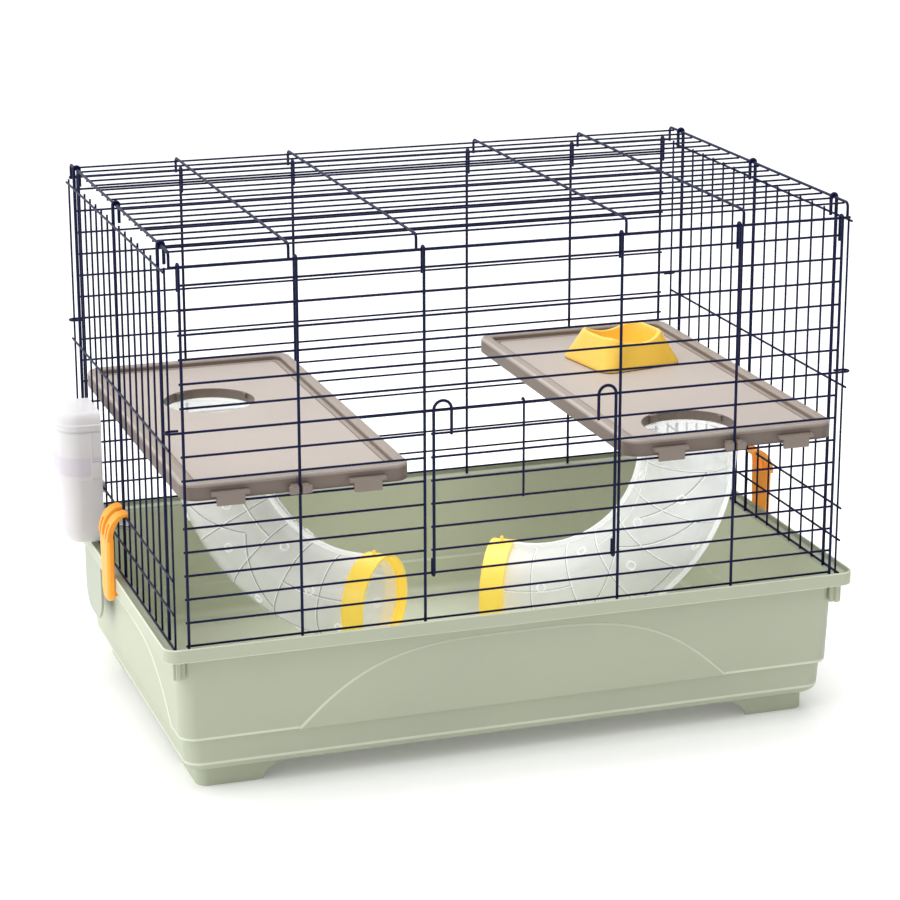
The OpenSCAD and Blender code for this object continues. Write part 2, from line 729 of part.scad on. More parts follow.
// Two side wires: a hinge loop below, an arch above that closes against the seventh crosswire
module door_side_wires() color(wire_colour) to_frame() for (k = [0, 1]) {
    x = door_xs[k];
    inward = k == 0 ? 1 : -1;
    arch_z = level(loop_level) + door_arch_rise - door_arch_r;
    leg_x = x + inward * 2 * door_arch_r;
    wire([x, door_y, level(hinge_level)], [x, door_y, arch_z], heavy_d);
    bent_xz([x + inward * door_arch_r, door_y, arch_z], door_arch_r, heavy_d, 0, 180);
    wire([leg_x, door_y, level(door_top_level) - heavy_d / 2], [leg_x, door_y, arch_z], heavy_d);
    bent_yz([x, -cross_y, level(hinge_level)], hinge_r, heavy_d, 180, 180);
    wire([x, -cross_y + hinge_r, level(hinge_level)],
        [x, -cross_y + hinge_r, level(hinge_level) + hinge_leg], heavy_d);
}

module door_crosswires() color(wire_colour) to_frame() for (i = [door_top_level:door_low_level])
    wire([door_xs[0] - heavy_d / 2 - door_wire_end, door_cross_y, level(i)],
        [door_xs[1] + heavy_d / 2 + door_wire_end, door_cross_y, level(i)], cross_d);

// The latch wire's hook passes over the seventh crosswire on the door's swing circle
module door_latch_wire() color(wire_colour) to_frame() {
    top_z = level(loop_level) + latch_rise;
    wire([latch_x, latch_y, level(latch_low_level) - cross_d / 2], [latch_x, latch_y, top_z], cross_d);
    bent_yz([latch_x, -cross_y, top_z], latch_r, cross_d, 0, 180);
}

// ---- Shelves ----

// A shelf clip: a bridge over the crosswire, a lip in front of it and a wider plate on top
module shelf_clip(w) {
    y0 = shelf_d / 2 - shelf_wall / 2;
    translate([-w / 2, y0, clip_under_z]) cube([w, lip_y + clip_lip_t - y0, clip_bridge - clip_plate / 2]);
    translate([-w / 2, lip_y, clip_under_z - clip_lip]) cube([w, clip_lip_t, clip_lip + 1]);
    translate([-w / 2 - clip_side, y0, clip_under_z + clip_bridge - clip_plate])
        cube([w + 2 * clip_side, lip_y + clip_lip_t - y0, clip_plate]);
}

// A forked clip that straddles an upright
module shelf_fork() difference() {
    y0 = shelf_d / 2 - shelf_wall / 2;
    reach = panel_y + heavy_d / 2 + fork_reach - y0;
    translate([-fork_slot / 2 - fork_prong, y0, clip_under_z])
        cube([fork_slot + 2 * fork_prong, reach, clip_bridge]);
    translate([-fork_slot / 2, panel_y - heavy_d / 2 - rest_gap, clip_under_z - 1])
        cube([fork_slot, reach, clip_bridge + 2]);
}

module shelf(hole_x, hole_y) {
    difference() {
        union() {
            difference() {
                plate(shelf_w, shelf_d, shelf_corner_r, shelf_z, shelf_h);
                // Space under the deck
                plate(shelf_w - 2 * shelf_wall, shelf_d - 2 * shelf_wall, shelf_corner_r - shelf_wall,
                    shelf_z - 1, deck_under_z - shelf_z + 1);
                // Recess above the deck
                plate(shelf_w - 2 * border_w, shelf_d - 2 * border_w, shelf_corner_r - border_w / 2,
                    deck_z, shelf_h);
                // Hollow inside the border
                difference() {
                    plate(shelf_w - 2 * shelf_wall, shelf_d - 2 * shelf_wall, shelf_corner_r - shelf_wall,
                        shelf_z - 1, shelf_h + 1 - shelf_wall);
                    plate(shelf_w - 2 * (border_w - shelf_wall), shelf_d - 2 * (border_w - shelf_wall),
                        shelf_corner_r - (border_w - shelf_wall) / 2, shelf_z - 2, shelf_h + 4);
                }
            }
            translate([hole_x, hole_y, deck_z - collar_h])
                cylinder(h = collar_h, r = collar_r, $fn = round_fn);
        }
        translate([hole_x, hole_y, shelf_z - 1]) cylinder(h = shelf_h + 2, r = hole_r, $fn = round_fn);
    }
    for (m = [0, 1]) mirror([0, m, 0]) translate([0, 0, m == 0 ? back_rise : 0]) {
        for (s = [-1, 1]) translate([s * clip_offset, 0, 0]) shelf_clip(clip_w);
        shelf_fork();
    }
}

module left_shelf() color(shelf_colour) to_frame()
    translate([shelf_xs[0], 0, 0]) shelf(left_hole_x, tube_ys[0]);
module right_shelf() color(shelf_colour) to_frame()
    translate([shelf_xs[1], 0, 0]) shelf(right_hole_x, tube_ys[1]);

// ---- Tubes ----

// Puts a tube's own frame under its hole: x' is the way it points, y' is across its bend
module at_tube(k) translate([tube_xs[k], tube_ys[k], 0]) rotate([0, 0, tube_turns[k]]) children();

// Half of a tube's section, above the line between its halves
module half_section() difference() {
    union() {
        circle(tube_r, $fn = round_fn);
        translate([-flange_r, 0]) square([2 * flange_r, flange_t]);
    }
    circle(bore_r, $fn = round_fn);
    translate([-flange_r - 1, -flange_r - 1]) square([2 * flange_r + 2, flange_r + 1]);
}

module half_plain_section() difference() {
    circle(tube_r, $fn = round_fn);
    circle(bore_r, $fn = round_fn);
    translate([-flange_r, -flange_r]) square([2 * flange_r, flange_r]);
}

// Half a tube, on the side where y' is positive: socket, drop, quarter bend and tail
module half_tube() {
    translate([0, 0, socket_low_z]) rotate_extrude(angle = 180, $fn = round_fn)
        translate([socket_in_r, 0]) square([socket_t, socket_top_z - socket_low_z]);
    translate([0, 0, socket_low_z - tube_wall]) rotate_extrude(angle = 180, $fn = round_fn)
        translate([bore_r, 0]) square([socket_r - bore_r, tube_wall]);
    translate([0, 0, bend_top_z]) linear_extrude(socket_low_z - tube_wall - bend_top_z) half_section();
    translate([bend_r, 0, bend_top_z]) rotate([90, 0, 0]) rotate([0, 0, 180])
        rotate_extrude(angle = 90, $fn = round_fn) translate([bend_r, 0]) mirror([0, 1, 0]) half_section();
    translate([bend_r, 0, tail_z]) rotate([0, 0, 90]) rotate([90, 0, 0])
        linear_extrude(flange_end_x - bend_r) rotate([0, 0, 90]) mirror([0, 1, 0]) half_section();
    translate([flange_end_x, 0, tail_z]) rotate([0, 0, 90]) rotate([90, 0, 0])
        linear_extrude(tail_x - flange_end_x) rotate([0, 0, 90]) mirror([0, 1, 0]) half_plain_section();
}

// The half that faces the front is the one whose y' points to -Y
module left_tube_front_half() color(tube_colour) to_frame() at_tube(0) mirror([0, 1, 0]) half_tube();
module left_tube_back_half() color(tube_colour) to_frame() at_tube(0) half_tube();
module right_tube_front_half() color(tube_colour) to_frame() at_tube(1) half_tube();
module right_tube_back_half() color(tube_colour) to_frame() at_tube(1) mirror([0, 1, 0]) half_tube();

// An end ring: it grips the tube's tail, and its mouth is as wide as the tube's bore
module ring(k) at_tube(k) translate([tail_x - ring_grip, 0, tail_z]) rotate([0, 90, 0]) {
    difference() {
        cylinder(h = ring_len, r = ring_r, $fn = round_fn);
        translate([0, 0, -1]) cylinder(h = ring_grip + 1 + ring_gap, r = ring_bore_r, $fn = round_fn);
        cylinder(h = ring_len + 1, r = bore_r, $fn = round_fn);
    }
    translate([-ring_r - ring_lug_h, -ring_lug_w / 2, (ring_len - ring_lug_w) / 2])
        cube([ring_lug_h + 1, ring_lug_w, ring_lug_w]);
}

module left_tube_ring() color(yellow) to_frame() ring(0);
module right_tube_ring() color(yellow) to_frame() ring(1);

// ---- Bowl ----

module bowl_slab(w, d, r, z) for (x = [-1, 1], y = [-1, 1])
    translate([x * (w / 2 - r), y * (d / 2 - r), z]) cylinder(h = 0.01, r = r, $fn = hull_fn);

module bowl() color(yellow) to_frame()
    translate([shelf_xs[1] + bowl_x, shelf_d / 2 - bowl_back, deck_z + rest_gap]) rotate([0, 0, bowl_turn]) difference() {
        top_w = bowl_w - 2 * bowl_inset;
        top_d = bowl_d - 2 * bowl_inset;
        in_w = top_w - 2 * bowl_lip;
        in_d = top_d - 2 * bowl_lip;
        in_r = bowl_top_r - bowl_lip;
        hull() {
            bowl_slab(bowl_w - 2 * bowl_bevel, bowl_d - 2 * bowl_bevel, bowl_foot_r, 0);
            bowl_slab(bowl_w, bowl_d, bowl_foot_r + bowl_bevel, bowl_bevel);
            bowl_slab(top_w, top_d, bowl_top_r, bowl_h - bowl_bevel);
            bowl_slab(top_w - 2 * bowl_bevel, top_d - 2 * bowl_bevel, bowl_top_r - bowl_bevel, bowl_h);
        }
        hull() {
            bowl_slab(in_w - 2 * bowl_scoop, in_d - 2 * bowl_scoop, in_r - bowl_scoop / 2, bowl_floor);
            bowl_slab(in_w - bowl_scoop / 2, in_d - bowl_scoop / 2, in_r, bowl_floor + bowl_scoop / 2);
            bowl_slab(in_w, in_d, in_r, bowl_h + 1);
        }
        translate([0, 0, bowl_h + bowl_dip_r - bowl_dip]) rotate([90, 0, 0])
            cylinder(h = bowl_d, r = bowl_dip_r, center = true, $fn = round_fn);
    }

// ---- Drinker, hung outside the left panel; drawn with +x' away from the cage ----

module at_drinker() translate([-bottle_back_x, drinker_y, 0]) mirror([1, 0, 0]) children();

// Rounded corner posts of the bottle's body, for a hull; inset is measured inwards
module bottle_posts(inset, r, z0, z1) {
    for (y = [-1, 1]) {
        translate([drinker_out - inset - r, y * (drinker_w / 2 - inset - r), z0])
            cylinder(h = z1 - z0, r = r, $fn = hull_fn);
        translate([inset, y * (drinker_w / 2 - inset) - (y > 0 ? bottle_wall : 0), z0])
            cube([bottle_wall, bottle_wall, z1 - z0]);
    }
}

module bottle_shape(inset, z0, z1) hull() {
    r = bottle_r - inset;
    bottle_posts(inset, r, z0 + r, z1);
    for (y = [-1, 1]) {
        translate([drinker_out - inset - r, y * (drinker_w / 2 - inset - r), z0 + r])
            sphere(r, $fn = hull_fn);
        translate([inset, y * (drinker_w / 2 - inset - r) - (y > 0 ? bottle_wall : 0), z0])
            cube([bottle_wall, bottle_wall, bottle_wall]);
    }
}

module drinker_bottle() color(frosted) to_frame() at_drinker() {
    top = bottle_z + bottle_h;
    difference() {
        bottle_shape(0, bottle_z, top);
        bottle_shape(bottle_wall, bottle_z + bottle_wall, top + 1);
        at_spout() translate([0, 0, -2 * bottle_wall])
            cylinder(h = 4 * bottle_wall, r = spout_r, $fn = wire_fn);
    }
    // Hooks over the third side rail, between the side uprights
    over_z = rail_3_z + cross_d / 2 + rest_gap;
    hook_x = -cross_d - 2 * rest_gap - drinker_hook_t;
    for (y = drinker_hook_ys) translate([hook_x, y - drinker_y - drinker_hook_w / 2, 0]) {
        translate([0, 0, over_z]) cube([bottle_wall - hook_x, drinker_hook_w, drinker_bridge]);
        translate([0, 0, over_z - drinker_hook_drop])
            cube([drinker_hook_t, drinker_hook_w, drinker_hook_drop + 1]);
    }
}

// A half-round outline on the drinker's back line, grown by grow, for the lid's hulls
module lid_posts(grow, r, z, h) for (y = [-1, 1]) {
    translate([drinker_out + grow - r, y * (drinker_w / 2 + grow - r), z])
        cylinder(h = h, r = r, $fn = hull_fn);
    translate([0, y * (drinker_w / 2 + grow) - (y > 0 ? bottle_wall : 0), z])
        cube([bottle_wall, bottle_wall, h]);
}

// The lid's dome, its outside or with shrink its inside
module lid_dome_shape(shrink) hull() {
    z = bottle_z + bottle_h + lid_gap;
    lid_posts(lid_reach - shrink, bottle_r + lid_reach - shrink, z, bottle_wall / 2);
    lid_posts(-dome_inset - shrink, bottle_r - dome_inset, z + lid_dome - shrink, 0.01);
}

module drinker_lid() color(frosted) to_frame() at_drinker() {
    low_z = bottle_z + bottle_h - lid_skirt;
    difference() {
        union() {
            lid_dome_shape(0);
            hull() lid_posts(lid_reach, bottle_r + lid_reach, low_z, lid_skirt + lid_gap + 1);
        }
        intersection() {
            lid_dome_shape(bottle_wall);
            translate([bottle_wall, -drinker_w, low_z])
                cube([drinker_out, 2 * drinker_w, lid_skirt + lid_dome]);
        }
        hull() {
            lid_posts(lid_gap, bottle_r + lid_gap, low_z - 1, lid_skirt + lid_gap + 1);
            translate([-1, 0, 0]) lid_posts(lid_gap, bottle_r + lid_gap, low_z - 1, lid_skirt + lid_gap + 1);
        }
    }
}

// The spout slopes down between two side uprights
module at_spout() translate([0, spout_y - drinker_y, spout_z]) rotate([0, -90 - spout_slope, 0]) children();

module drinker_spout() color(steel) to_frame() at_drinker() at_spout() difference() {
    translate([0, 0, -spout_in]) cylinder(h = spout_len + spout_in, r = spout_r - spout_gap, $fn = wire_fn);
    translate([0, 0, -spout_in - 1])
        cylinder(h = spout_len + spout_in + 1 - mouth_t, r = ball_r + ball_gap, $fn = wire_fn);
    cylinder(h = spout_len + 1, r = ball_r - mouth_step, $fn = wire_fn);
}

// The ball rests just above the spout's mouth
module drinker_ball() color(steel) to_frame() at_drinker() at_spout() {
    drop = sqrt(pow(ball_r, 2) - pow(ball_r - mouth_step, 2));
    translate([0, 0, spout_len - mouth_t - drop - ball_gap / 2]) sphere(ball_r, $fn = wire_fn);
}

// ---- Side clips, drawn for the right side ----

// Profile of a clip's finger, in x and z: from the body, over the rail and round it
module finger_profile() difference() {
    union() {
        polygon(concat(
            [for (a = [0:10:90]) [side_rail_x + (clip_out_x - side_rail_x) * cos(a),
                clip_bend_z + (rail_3_z + finger_r - clip_bend_z) * sin(a)]],
            [for (a = [90:-10:0]) [side_rail_x + (clip_out_x - finger_root - side_rail_x) * cos(a),
                clip_bend_z + (rail_3_z + rail_bore_r - clip_bend_z) * sin(a)]]));
        translate([side_rail_x, rail_3_z]) circle(finger_r, $fn = wire_fn);
    }
    translate([side_rail_x, rail_3_z]) circle(rail_bore_r, $fn = wire_fn);
    translate([side_rail_x - rail_bore_r, rail_3_z - 2 * finger_r]) square([2 * rail_bore_r, 2 * finger_r]);
}

module side_clip() {
    for (s = [-1, 1]) difference() {
        translate([0, s * (finger_gap + finger_w) / 2 + finger_w / 2, 0])
            rotate([90, 0, 0]) linear_extrude(finger_w) finger_profile();
        // Slot along the finger
        translate([side_rail_x + finger_r, s * (finger_gap + finger_w) / 2 - finger_slot_w / 2, clip_bend_z])
            cube([clip_out_x - side_rail_x, finger_slot_w, finger_slot_h]);
    }
    // Body, narrowing to a rounded lower end
    low_r = side_clip_low_w / 2;
    translate([clip_in_x, 0, 0]) rotate([90, 0, 90]) linear_extrude(side_clip_t) {
        polygon([[-side_clip_w / 2, clip_bend_z], [side_clip_w / 2, clip_bend_z],
            [low_r, clip_low_z + low_r * 0.6], [low_r * 0.8, clip_low_z + low_r * 0.2],
            [low_r * 0.45, clip_low_z], [-low_r * 0.45, clip_low_z],
            [-low_r * 0.8, clip_low_z + low_r * 0.2], [-low_r, clip_low_z + low_r * 0.6]]);
    }
    // Catch under the rim's skirt
    translate([clip_in_x - side_clip_gap - catch_in, -low_r * 0.7, catch_top_z - catch_h])
        cube([catch_in + side_clip_gap + 1, low_r * 1.4, catch_h]);
}

module left_clip() color(orange) to_frame() mirror([1, 0, 0]) side_clip();
module right_clip() color(orange) to_frame() side_clip();

tray();
front_panel_uprights();
front_panel_crosswires();
back_panel_uprights();
back_panel_crosswires();
left_panel_uprights();
left_panel_hook_wires();
left_panel_rails();
right_panel_uprights();
right_panel_hook_wires();
right_panel_rails();
roof_long_wires();
roof_cross_wires();
roof_edge_rails();
door_side_wires();
door_crosswires();
door_latch_wire();
left_shelf();
right_shelf();
left_tube_front_half();
left_tube_back_half();
right_tube_front_half();
right_tube_back_half();
left_tube_ring();
right_tube_ring();
bowl();
drinker_bottle();
drinker_lid();
drinker_spout();
drinker_ball();
left_clip();
right_clip();
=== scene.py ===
import json
import math

import bmesh
import bpy
from mathutils import Matrix, Vector


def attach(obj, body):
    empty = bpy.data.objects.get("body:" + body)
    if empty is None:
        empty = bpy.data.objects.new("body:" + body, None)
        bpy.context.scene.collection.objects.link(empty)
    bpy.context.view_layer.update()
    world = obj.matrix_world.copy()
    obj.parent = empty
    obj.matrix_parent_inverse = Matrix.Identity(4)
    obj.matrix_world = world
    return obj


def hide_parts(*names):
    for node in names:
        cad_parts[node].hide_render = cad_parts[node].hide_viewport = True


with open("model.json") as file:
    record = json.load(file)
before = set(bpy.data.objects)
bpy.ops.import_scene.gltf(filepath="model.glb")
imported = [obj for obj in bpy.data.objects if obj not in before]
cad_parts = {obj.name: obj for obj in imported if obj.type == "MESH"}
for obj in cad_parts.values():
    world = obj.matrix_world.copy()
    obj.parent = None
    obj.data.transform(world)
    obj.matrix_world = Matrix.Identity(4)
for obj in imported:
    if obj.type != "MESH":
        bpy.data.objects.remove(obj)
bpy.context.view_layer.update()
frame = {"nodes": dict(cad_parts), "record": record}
NODES = frame["nodes"]

# Sizes are in millimetres, with X counted from the tray's middle.
# The frame's origin lies SHIFT to the left of it.
MM = 0.001
SHIFT = 13.175

# ---------------------------------------------------------------- materials


def new_material(name):
    m = bpy.data.materials.new(name)
    m.use_nodes = True
    return m, m.node_tree.nodes, m.node_tree.links, m.node_tree.nodes["Principled BSDF"]


def plastic(name, colour, rough, mottle=0.03, bump=0.02, scale=600.0, **sockets):
    """A moulded plastic: a faint mottle in its colour and roughness, and a fine surface grain."""
    m, nodes, links, bsdf = new_material(name)
    for key, value in sockets.items():
        bsdf.inputs[key.replace("_", " ")].default_value = value
    coords = nodes.new("ShaderNodeTexCoord")
    cloud = nodes.new("ShaderNodeTexNoise")
    cloud.inputs["Scale"].default_value = 7.0
    cloud.inputs["Detail"].default_value = 3.0
    ramp = nodes.new("ShaderNodeValToRGB")
    ramp.color_ramp.elements[0].position = 0.35
    ramp.color_ramp.elements[1].position = 0.65
    ramp.color_ramp.elements[0].color = [c * (1 - mottle) for c in colour] + [1]
    ramp.color_ramp.elements[1].color = [min(1, c * (1 + mottle)) for c in colour] + [1]
    sheen = nodes.new("ShaderNodeMapRange")
    sheen.inputs["To Min"].default_value = rough * 0.88
    sheen.inputs["To Max"].default_value = rough * 1.12
    grain = nodes.new("ShaderNodeTexNoise")
    grain.inputs["Scale"].default_value = scale
    grain.inputs["Detail"].default_value = 2.0
    bumps = nodes.new("ShaderNodeBump")
    bumps.inputs["Strength"].default_value = bump
    bumps.inputs["Distance"].default_value = 0.001
    links.new(coords.outputs["Object"], cloud.inputs["Vector"])
    links.new(coords.outputs["Object"], grain.inputs["Vector"])
    links.new(cloud.outputs["Fac"], ramp.inputs["Fac"])
    links.new(cloud.outputs["Fac"], sheen.inputs["Value"])
    links.new(sheen.outputs["Result"], bsdf.inputs["Roughness"])
    links.new(ramp.outputs["Color"], bsdf.inputs["Base Color"])
    links.new(grain.outputs["Fac"], bumps.inputs["Height"])
    links.new(bumps.outputs["Normal"], bsdf.inputs["Normal"])
    return m


NAVY = plastic("wire_navy", (0.004, 0.007, 0.042), 0.45, mottle=0.1, bump=0.01, Specular_IOR_Level=0.15)
GREEN = plastic("tray_green", (0.46, 0.495, 0.37), 0.45, mottle=0.02)
# A lighter green painted as highlight along the tray's edges and the arches' shoulders
GREEN_HIGHLIGHT = plastic("tray_painted_highlight", (0.66, 0.70, 0.56), 0.4, mottle=0.02)
GREEN_GRIP = plastic("tray_grip", (0.40, 0.435, 0.345), 0.45, mottle=0.02)
# A brighter green painted as light over the tray's inside walls and floor
GREEN_PAINTED_LIGHT = plastic("tray_inner_painted_light", (0.69, 0.73, 0.585), 0.45, mottle=0.02)
TAUPE = plastic("shelf_taupe", (0.445, 0.39, 0.35), 0.5)
BORDER = plastic("shelf_border", (0.33, 0.275, 0.235), 0.45)
CLIP_TAUPE = plastic("shelf_clip", (0.235, 0.19, 0.16), 0.45)
SHADE = plastic("shelf_shade", (0.185, 0.142, 0.115), 0.5)
# The ring's emission is painted light, a glow that brightens it
YELLOW = plastic("ring_yellow", (0.98, 0.72, 0.11), 0.3,
                 Emission_Color=(0.98, 0.70, 0.10, 1), Emission_Strength=0.34)
# The clip's emission is painted light, a glow that brightens it where it stands in shade
ORANGE = plastic("clip_orange", (0.88, 0.34, 0.022), 0.42, Specular_IOR_Level=0.35,
                 Emission_Color=(1.0, 0.32, 0.05, 1), Emission_Strength=0.2)
BOWL = plastic("bowl_yellow", (0.96, 0.60, 0.08), 0.3)
STEEL = plastic("spout_steel", (0.62, 0.62, 0.64), 0.25, Metallic=1.0)
# The clear plastic's emission is painted light, a faint glow that makes it look milky
CLEAR = plastic("tube_clear", (0.88, 0.90, 0.885), 0.12, mottle=0.04, scale=90, bump=0.05, Alpha=0.5,
                Emission_Color=(0.96, 0.96, 0.93, 1), Emission_Strength=0.12)
# A whiter, glowing grey painted as highlight on the tubes' ribs, bosses, flanges and sockets
CLEAR_HIGHLIGHT = plastic("tube_painted_highlight", (0.95, 0.96, 0.95), 0.12, mottle=0.02, scale=90, Alpha=0.78,
               Emission_Color=(1, 1, 1, 1), Emission_Strength=0.22)
# A darker grey painted as shadow along one flank of each rib on the tubes
CLEAR_SHADOW = plastic("tube_painted_shadow", (0.42, 0.44, 0.42), 0.2, mottle=0.02, scale=90, Alpha=0.6)
FROSTED = plastic("drinker_frosted", (0.80, 0.785, 0.795), 0.4, scale=300, Alpha=0.80)
BAND = plastic("drinker_band", (0.70, 0.66, 0.72), 0.4, scale=300, Alpha=0.85)

MATERIALS = {"wire_navy": NAVY, "tray_green": GREEN, "shelf_taupe": TAUPE, "ring_yellow": YELLOW,
             "clip_orange": ORANGE, "bowl_yellow": BOWL, "spout_steel": STEEL, "tube_clear": CLEAR,
             "drinker_frosted": FROSTED}
for subpart in frame["record"]["subparts"]:
    materials = NODES[subpart["node"]].data.materials
    materials.clear()
    materials.append(MATERIALS[subpart["material_slot"]])

# ---------------------------------------------------------------- mesh helpers


def smooth_but_creases(bm, crease):
    """Smooth shading, with the edges that bend by more than crease degrees left sharp."""
    for f in bm.faces:
        f.smooth = True
    for e in bm.edges:
        if len(e.link_faces) == 2 and e.calc_face_angle(0) > math.radians(crease):
            e.smooth = False


def new_object(name, mesh):
    o = bpy.data.objects.new(name, mesh)
    bpy.context.scene.collection.objects.link(o)
    return o


class Shape:
    """Collects lofts, prisms and blocks, in millimetres, and makes one piece of them."""

    def __init__(self):
        self.verts, self.faces, self.kinds = [], [], []

    def add(self, verts, faces, kind=0):
        start = len(self.verts)
        self.verts += [tuple(v) for v in verts]
        self.faces += [[start + i for i in f] for f in faces]
        self.kinds += [kind] * len(faces)

    def loft(self, rings, cap=(True, True), loop=False, closed=True, kind=0, bands=None):
        """Quads between rings of equal length; closed joins a ring's ends, loop the last ring to the first.
        bands gives another material for the faces after some rings, by the ring's number."""
        n = len(rings[0])
        quads = n if closed else n - 1
        faces, first = [], len(self.faces)
        for r in range(len(rings) if loop else len(rings) - 1):
            s = (r + 1) % len(rings)
            for k in range(quads):
                j = (k + 1) % n
                faces.append((r * n + k, r * n + j, s * n + j, s * n + k))
        if not loop and closed:
            if cap[0]:
                faces.append(tuple(range(n)))
            if cap[1]:
                faces.append(tuple(range((len(rings) - 1) * n, len(rings) * n)))
        self.add([p for ring in rings for p in ring], faces, kind)
        for r, other in (bands or {}).items():
            for k in range(quads):
                self.kinds[first + r * quads + k] = other

    def prism(self, outline, place, depth, kind=0):
        """An outline of (u, v) carried by place(u, v, w) from w = 0 to w = depth."""
        self.loft([[place(u, v, w) for u, v in outline] for w in (0, depth)], kind=kind)

    def block(self, lo, hi, kind=0):
        x0, y0, z0 = lo
        x1, y1, z1 = hi
        self.loft([[(x0, y0, z), (x1, y0, z), (x1, y1, z), (x0, y1, z)] for z in (z0, z1)], kind=kind)

    def piece(self, name, materials, body, replaces=None, move=lambda p: p, bevel=0.0, crease=45):
        """move carries each point to its place; bevel is in millimetres, crease in degrees."""
        mesh = bpy.data.meshes.new(name)
        points = [move(p) for p in self.verts]
        mesh.from_pydata([((x + SHIFT) * MM, y * MM, z * MM) for x, y, z in points], [], self.faces)
        for m in materials:
            mesh.materials.append(m)
        for polygon, kind in zip(mesh.polygons, self.kinds):
            polygon.material_index = kind
        bm = bmesh.new()
        bm.from_mesh(mesh)
        bmesh.ops.remove_doubles(bm, verts=bm.verts, dist=1e-7)
        bmesh.ops.recalc_face_normals(bm, faces=bm.faces)
        smooth_but_creases(bm, crease)
        bmesh.ops.dissolve_degenerate(bm, dist=1e-7, edges=bm.edges)
        bm.to_mesh(mesh)
        bm.free()
        mesh.validate()
        o = new_object(name, mesh)
        if bevel:
            m = o.modifiers.new("bevel", "BEVEL")
            m.width = bevel * MM
            m.segments = 2
            m.limit_method = "ANGLE"
            m.angle_limit = math.radians(40)
        m = o.modifiers.new("normals", "WEIGHTED_NORMAL")
        m.keep_sharp = True
        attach(o, body)
        if replaces:
            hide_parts(replaces)


def round_rect(w, d, r, z, counts=None, corner=8):
    """A rounded rectangle's points; counts are the parts that its long and short straight sides get."""
    r = max(r, 0.3)
    out = []
    for sx, sy, a0 in ((1, 1, 0), (-1, 1, 90), (-1, -1, 180), (1, -1, 270)):
        for k in range(corner + 1):
            a = math.radians(a0 + 90 * k / corner)
            out.append((sx * (w / 2 - r) + r * math.cos(a), sy * (d / 2 - r) + r * math.sin(a), z))
        if counts:
            x, y, _ = out[-1]
            run = (w if a0 in (0, 180) else d) - 2 * r
            count = counts[0 if a0 in (0, 180) else 1]
            dx, dy = {0: (-1, 0), 90: (0, -1), 180: (1, 0), 270: (0, 1)}[a0]
            for k in range(1, count):
                out.append((x + dx * run * k / count, y + dy * run * k / count, z))
    return out


def polar(r, a):
    return r * math.cos(a), r * math.sin(a)


def turned(at, turn, lift=0.0):
    """A move that turns a point about the upright axis and carries it to at and up by lift."""
    c, n = math.cos(turn), math.sin(turn)
    return lambda p: (at[0] + p[0] * c - p[1] * n, at[1] + p[0] * n + p[1] * c, lift + p[2])


# ---------------------------------------------------------------- wires

# The photograph's wires look bolder than their 2 and 3 mm: how far each node's wires are thickened, in mm
BOLDER = {
    "front_panel_uprights": 0.12, "back_panel_uprights": 0.15,
    "front_panel_crosswires": 0.25, "back_panel_crosswires": 0.2,
    "left_panel_uprights": 0.25, "right_panel_uprights": 0.25,
    "left_panel_hook_wires": 0.42, "right_panel_hook_wires": 0.48,
    "left_panel_rails": 0.25, "right_panel_rails": 0.25,
    "roof_long_wires": 0.04, "roof_cross_wires": 0.06, "roof_edge_rails": 0.06,
    "door_side_wires": 0.2, "door_crosswires": 0.25, "door_latch_wire": 0.2}
# The front and back crosswires end flush with the outer uprights.
# An end is straight where it reaches less than CROSSWIRE_SPARE past them.
CROSSWIRE_REACH = 374.4
CROSSWIRE_SPARE = 2.5


def trim_straight_ends(bm):
    """Draw each wire's straight ends back to CROSSWIRE_REACH; an end that loops on past it is left alone."""
    left = set(bm.verts)
    while left:
        wire, front = set(), [left.pop()]
        while front:
            v = front.pop()
            wire.add(v)
            near = [e.other_vert(v) for e in v.link_edges]
            front += [w for w in near if w in left]
            left.difference_update(near)
        for side in (-1, 1):
            reach = [side * (v.co.x / MM - SHIFT) for v in wire]
            if CROSSWIRE_REACH < max(reach) < CROSSWIRE_REACH + CROSSWIRE_SPARE:
                for v in wire:
                    if side * (v.co.x / MM - SHIFT) > CROSSWIRE_REACH:
                        v.co.x = (SHIFT + side * CROSSWIRE_REACH) * MM


def bolder_wires(node, grow):
    """Replaces a wire node by a copy of its own mesh, moved out by grow along its normals."""
    bm = bmesh.new()
    bm.from_mesh(NODES[node].data)
    bm.transform(NODES[node].matrix_world)
    bmesh.ops.remove_doubles(bm, verts=bm.verts, dist=2e-6)
    bmesh.ops.recalc_face_normals(bm, faces=bm.faces)
    bm.normal_update()
    for v, out in [(v, v.normal.copy()) for v in bm.verts]:
        v.co += out * grow * MM
    if node.endswith("panel_crosswires"):
        trim_straight_ends(bm)
    smooth_but_creases(bm, 50)
    mesh = bpy.data.meshes.new(node + "_bold")
    bm.to_mesh(mesh)
    bm.free()
    mesh.materials.clear()
    mesh.materials.append(NAVY)
    o = new_object(node + "_bold", mesh)
    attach(o, "door" if node.startswith("door") else "cage")
    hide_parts(node)


for node, grow in BOLDER.items():
    bolder_wires(node, grow)

# ---------------------------------------------------------------- tray

RIM_W, RIM_D = 800, 532
LEDGE_Z, CHANNEL_Z = 62, 169
# How far in from the rim's edge the wall's outer face lies, at the ledge and under the rim
WALL_LOW, WALL_TOP = 19, 15.5
# The base's rounded edge: how far in and how high its centre lies
BASE_CENTRE = (37, 34)
# Places in the tray's list of materials: a lighter green painted as highlight, and a brighter green painted
# as light over the inside
PAINTED_HIGHLIGHT, INNER_PAINTED_LIGHT = 1, 2


def tray_ring(inset, z, r):
    return round_rect(RIM_W - 2 * inset, RIM_D - 2 * inset, r, z)


def base_curve(radius, corner, degrees):
    out = []
    for a in degrees:
        x, z = polar(radius, math.radians(a))
        out.append((BASE_CENTRE[0] - x, BASE_CENTRE[1] - z, corner))
    return out


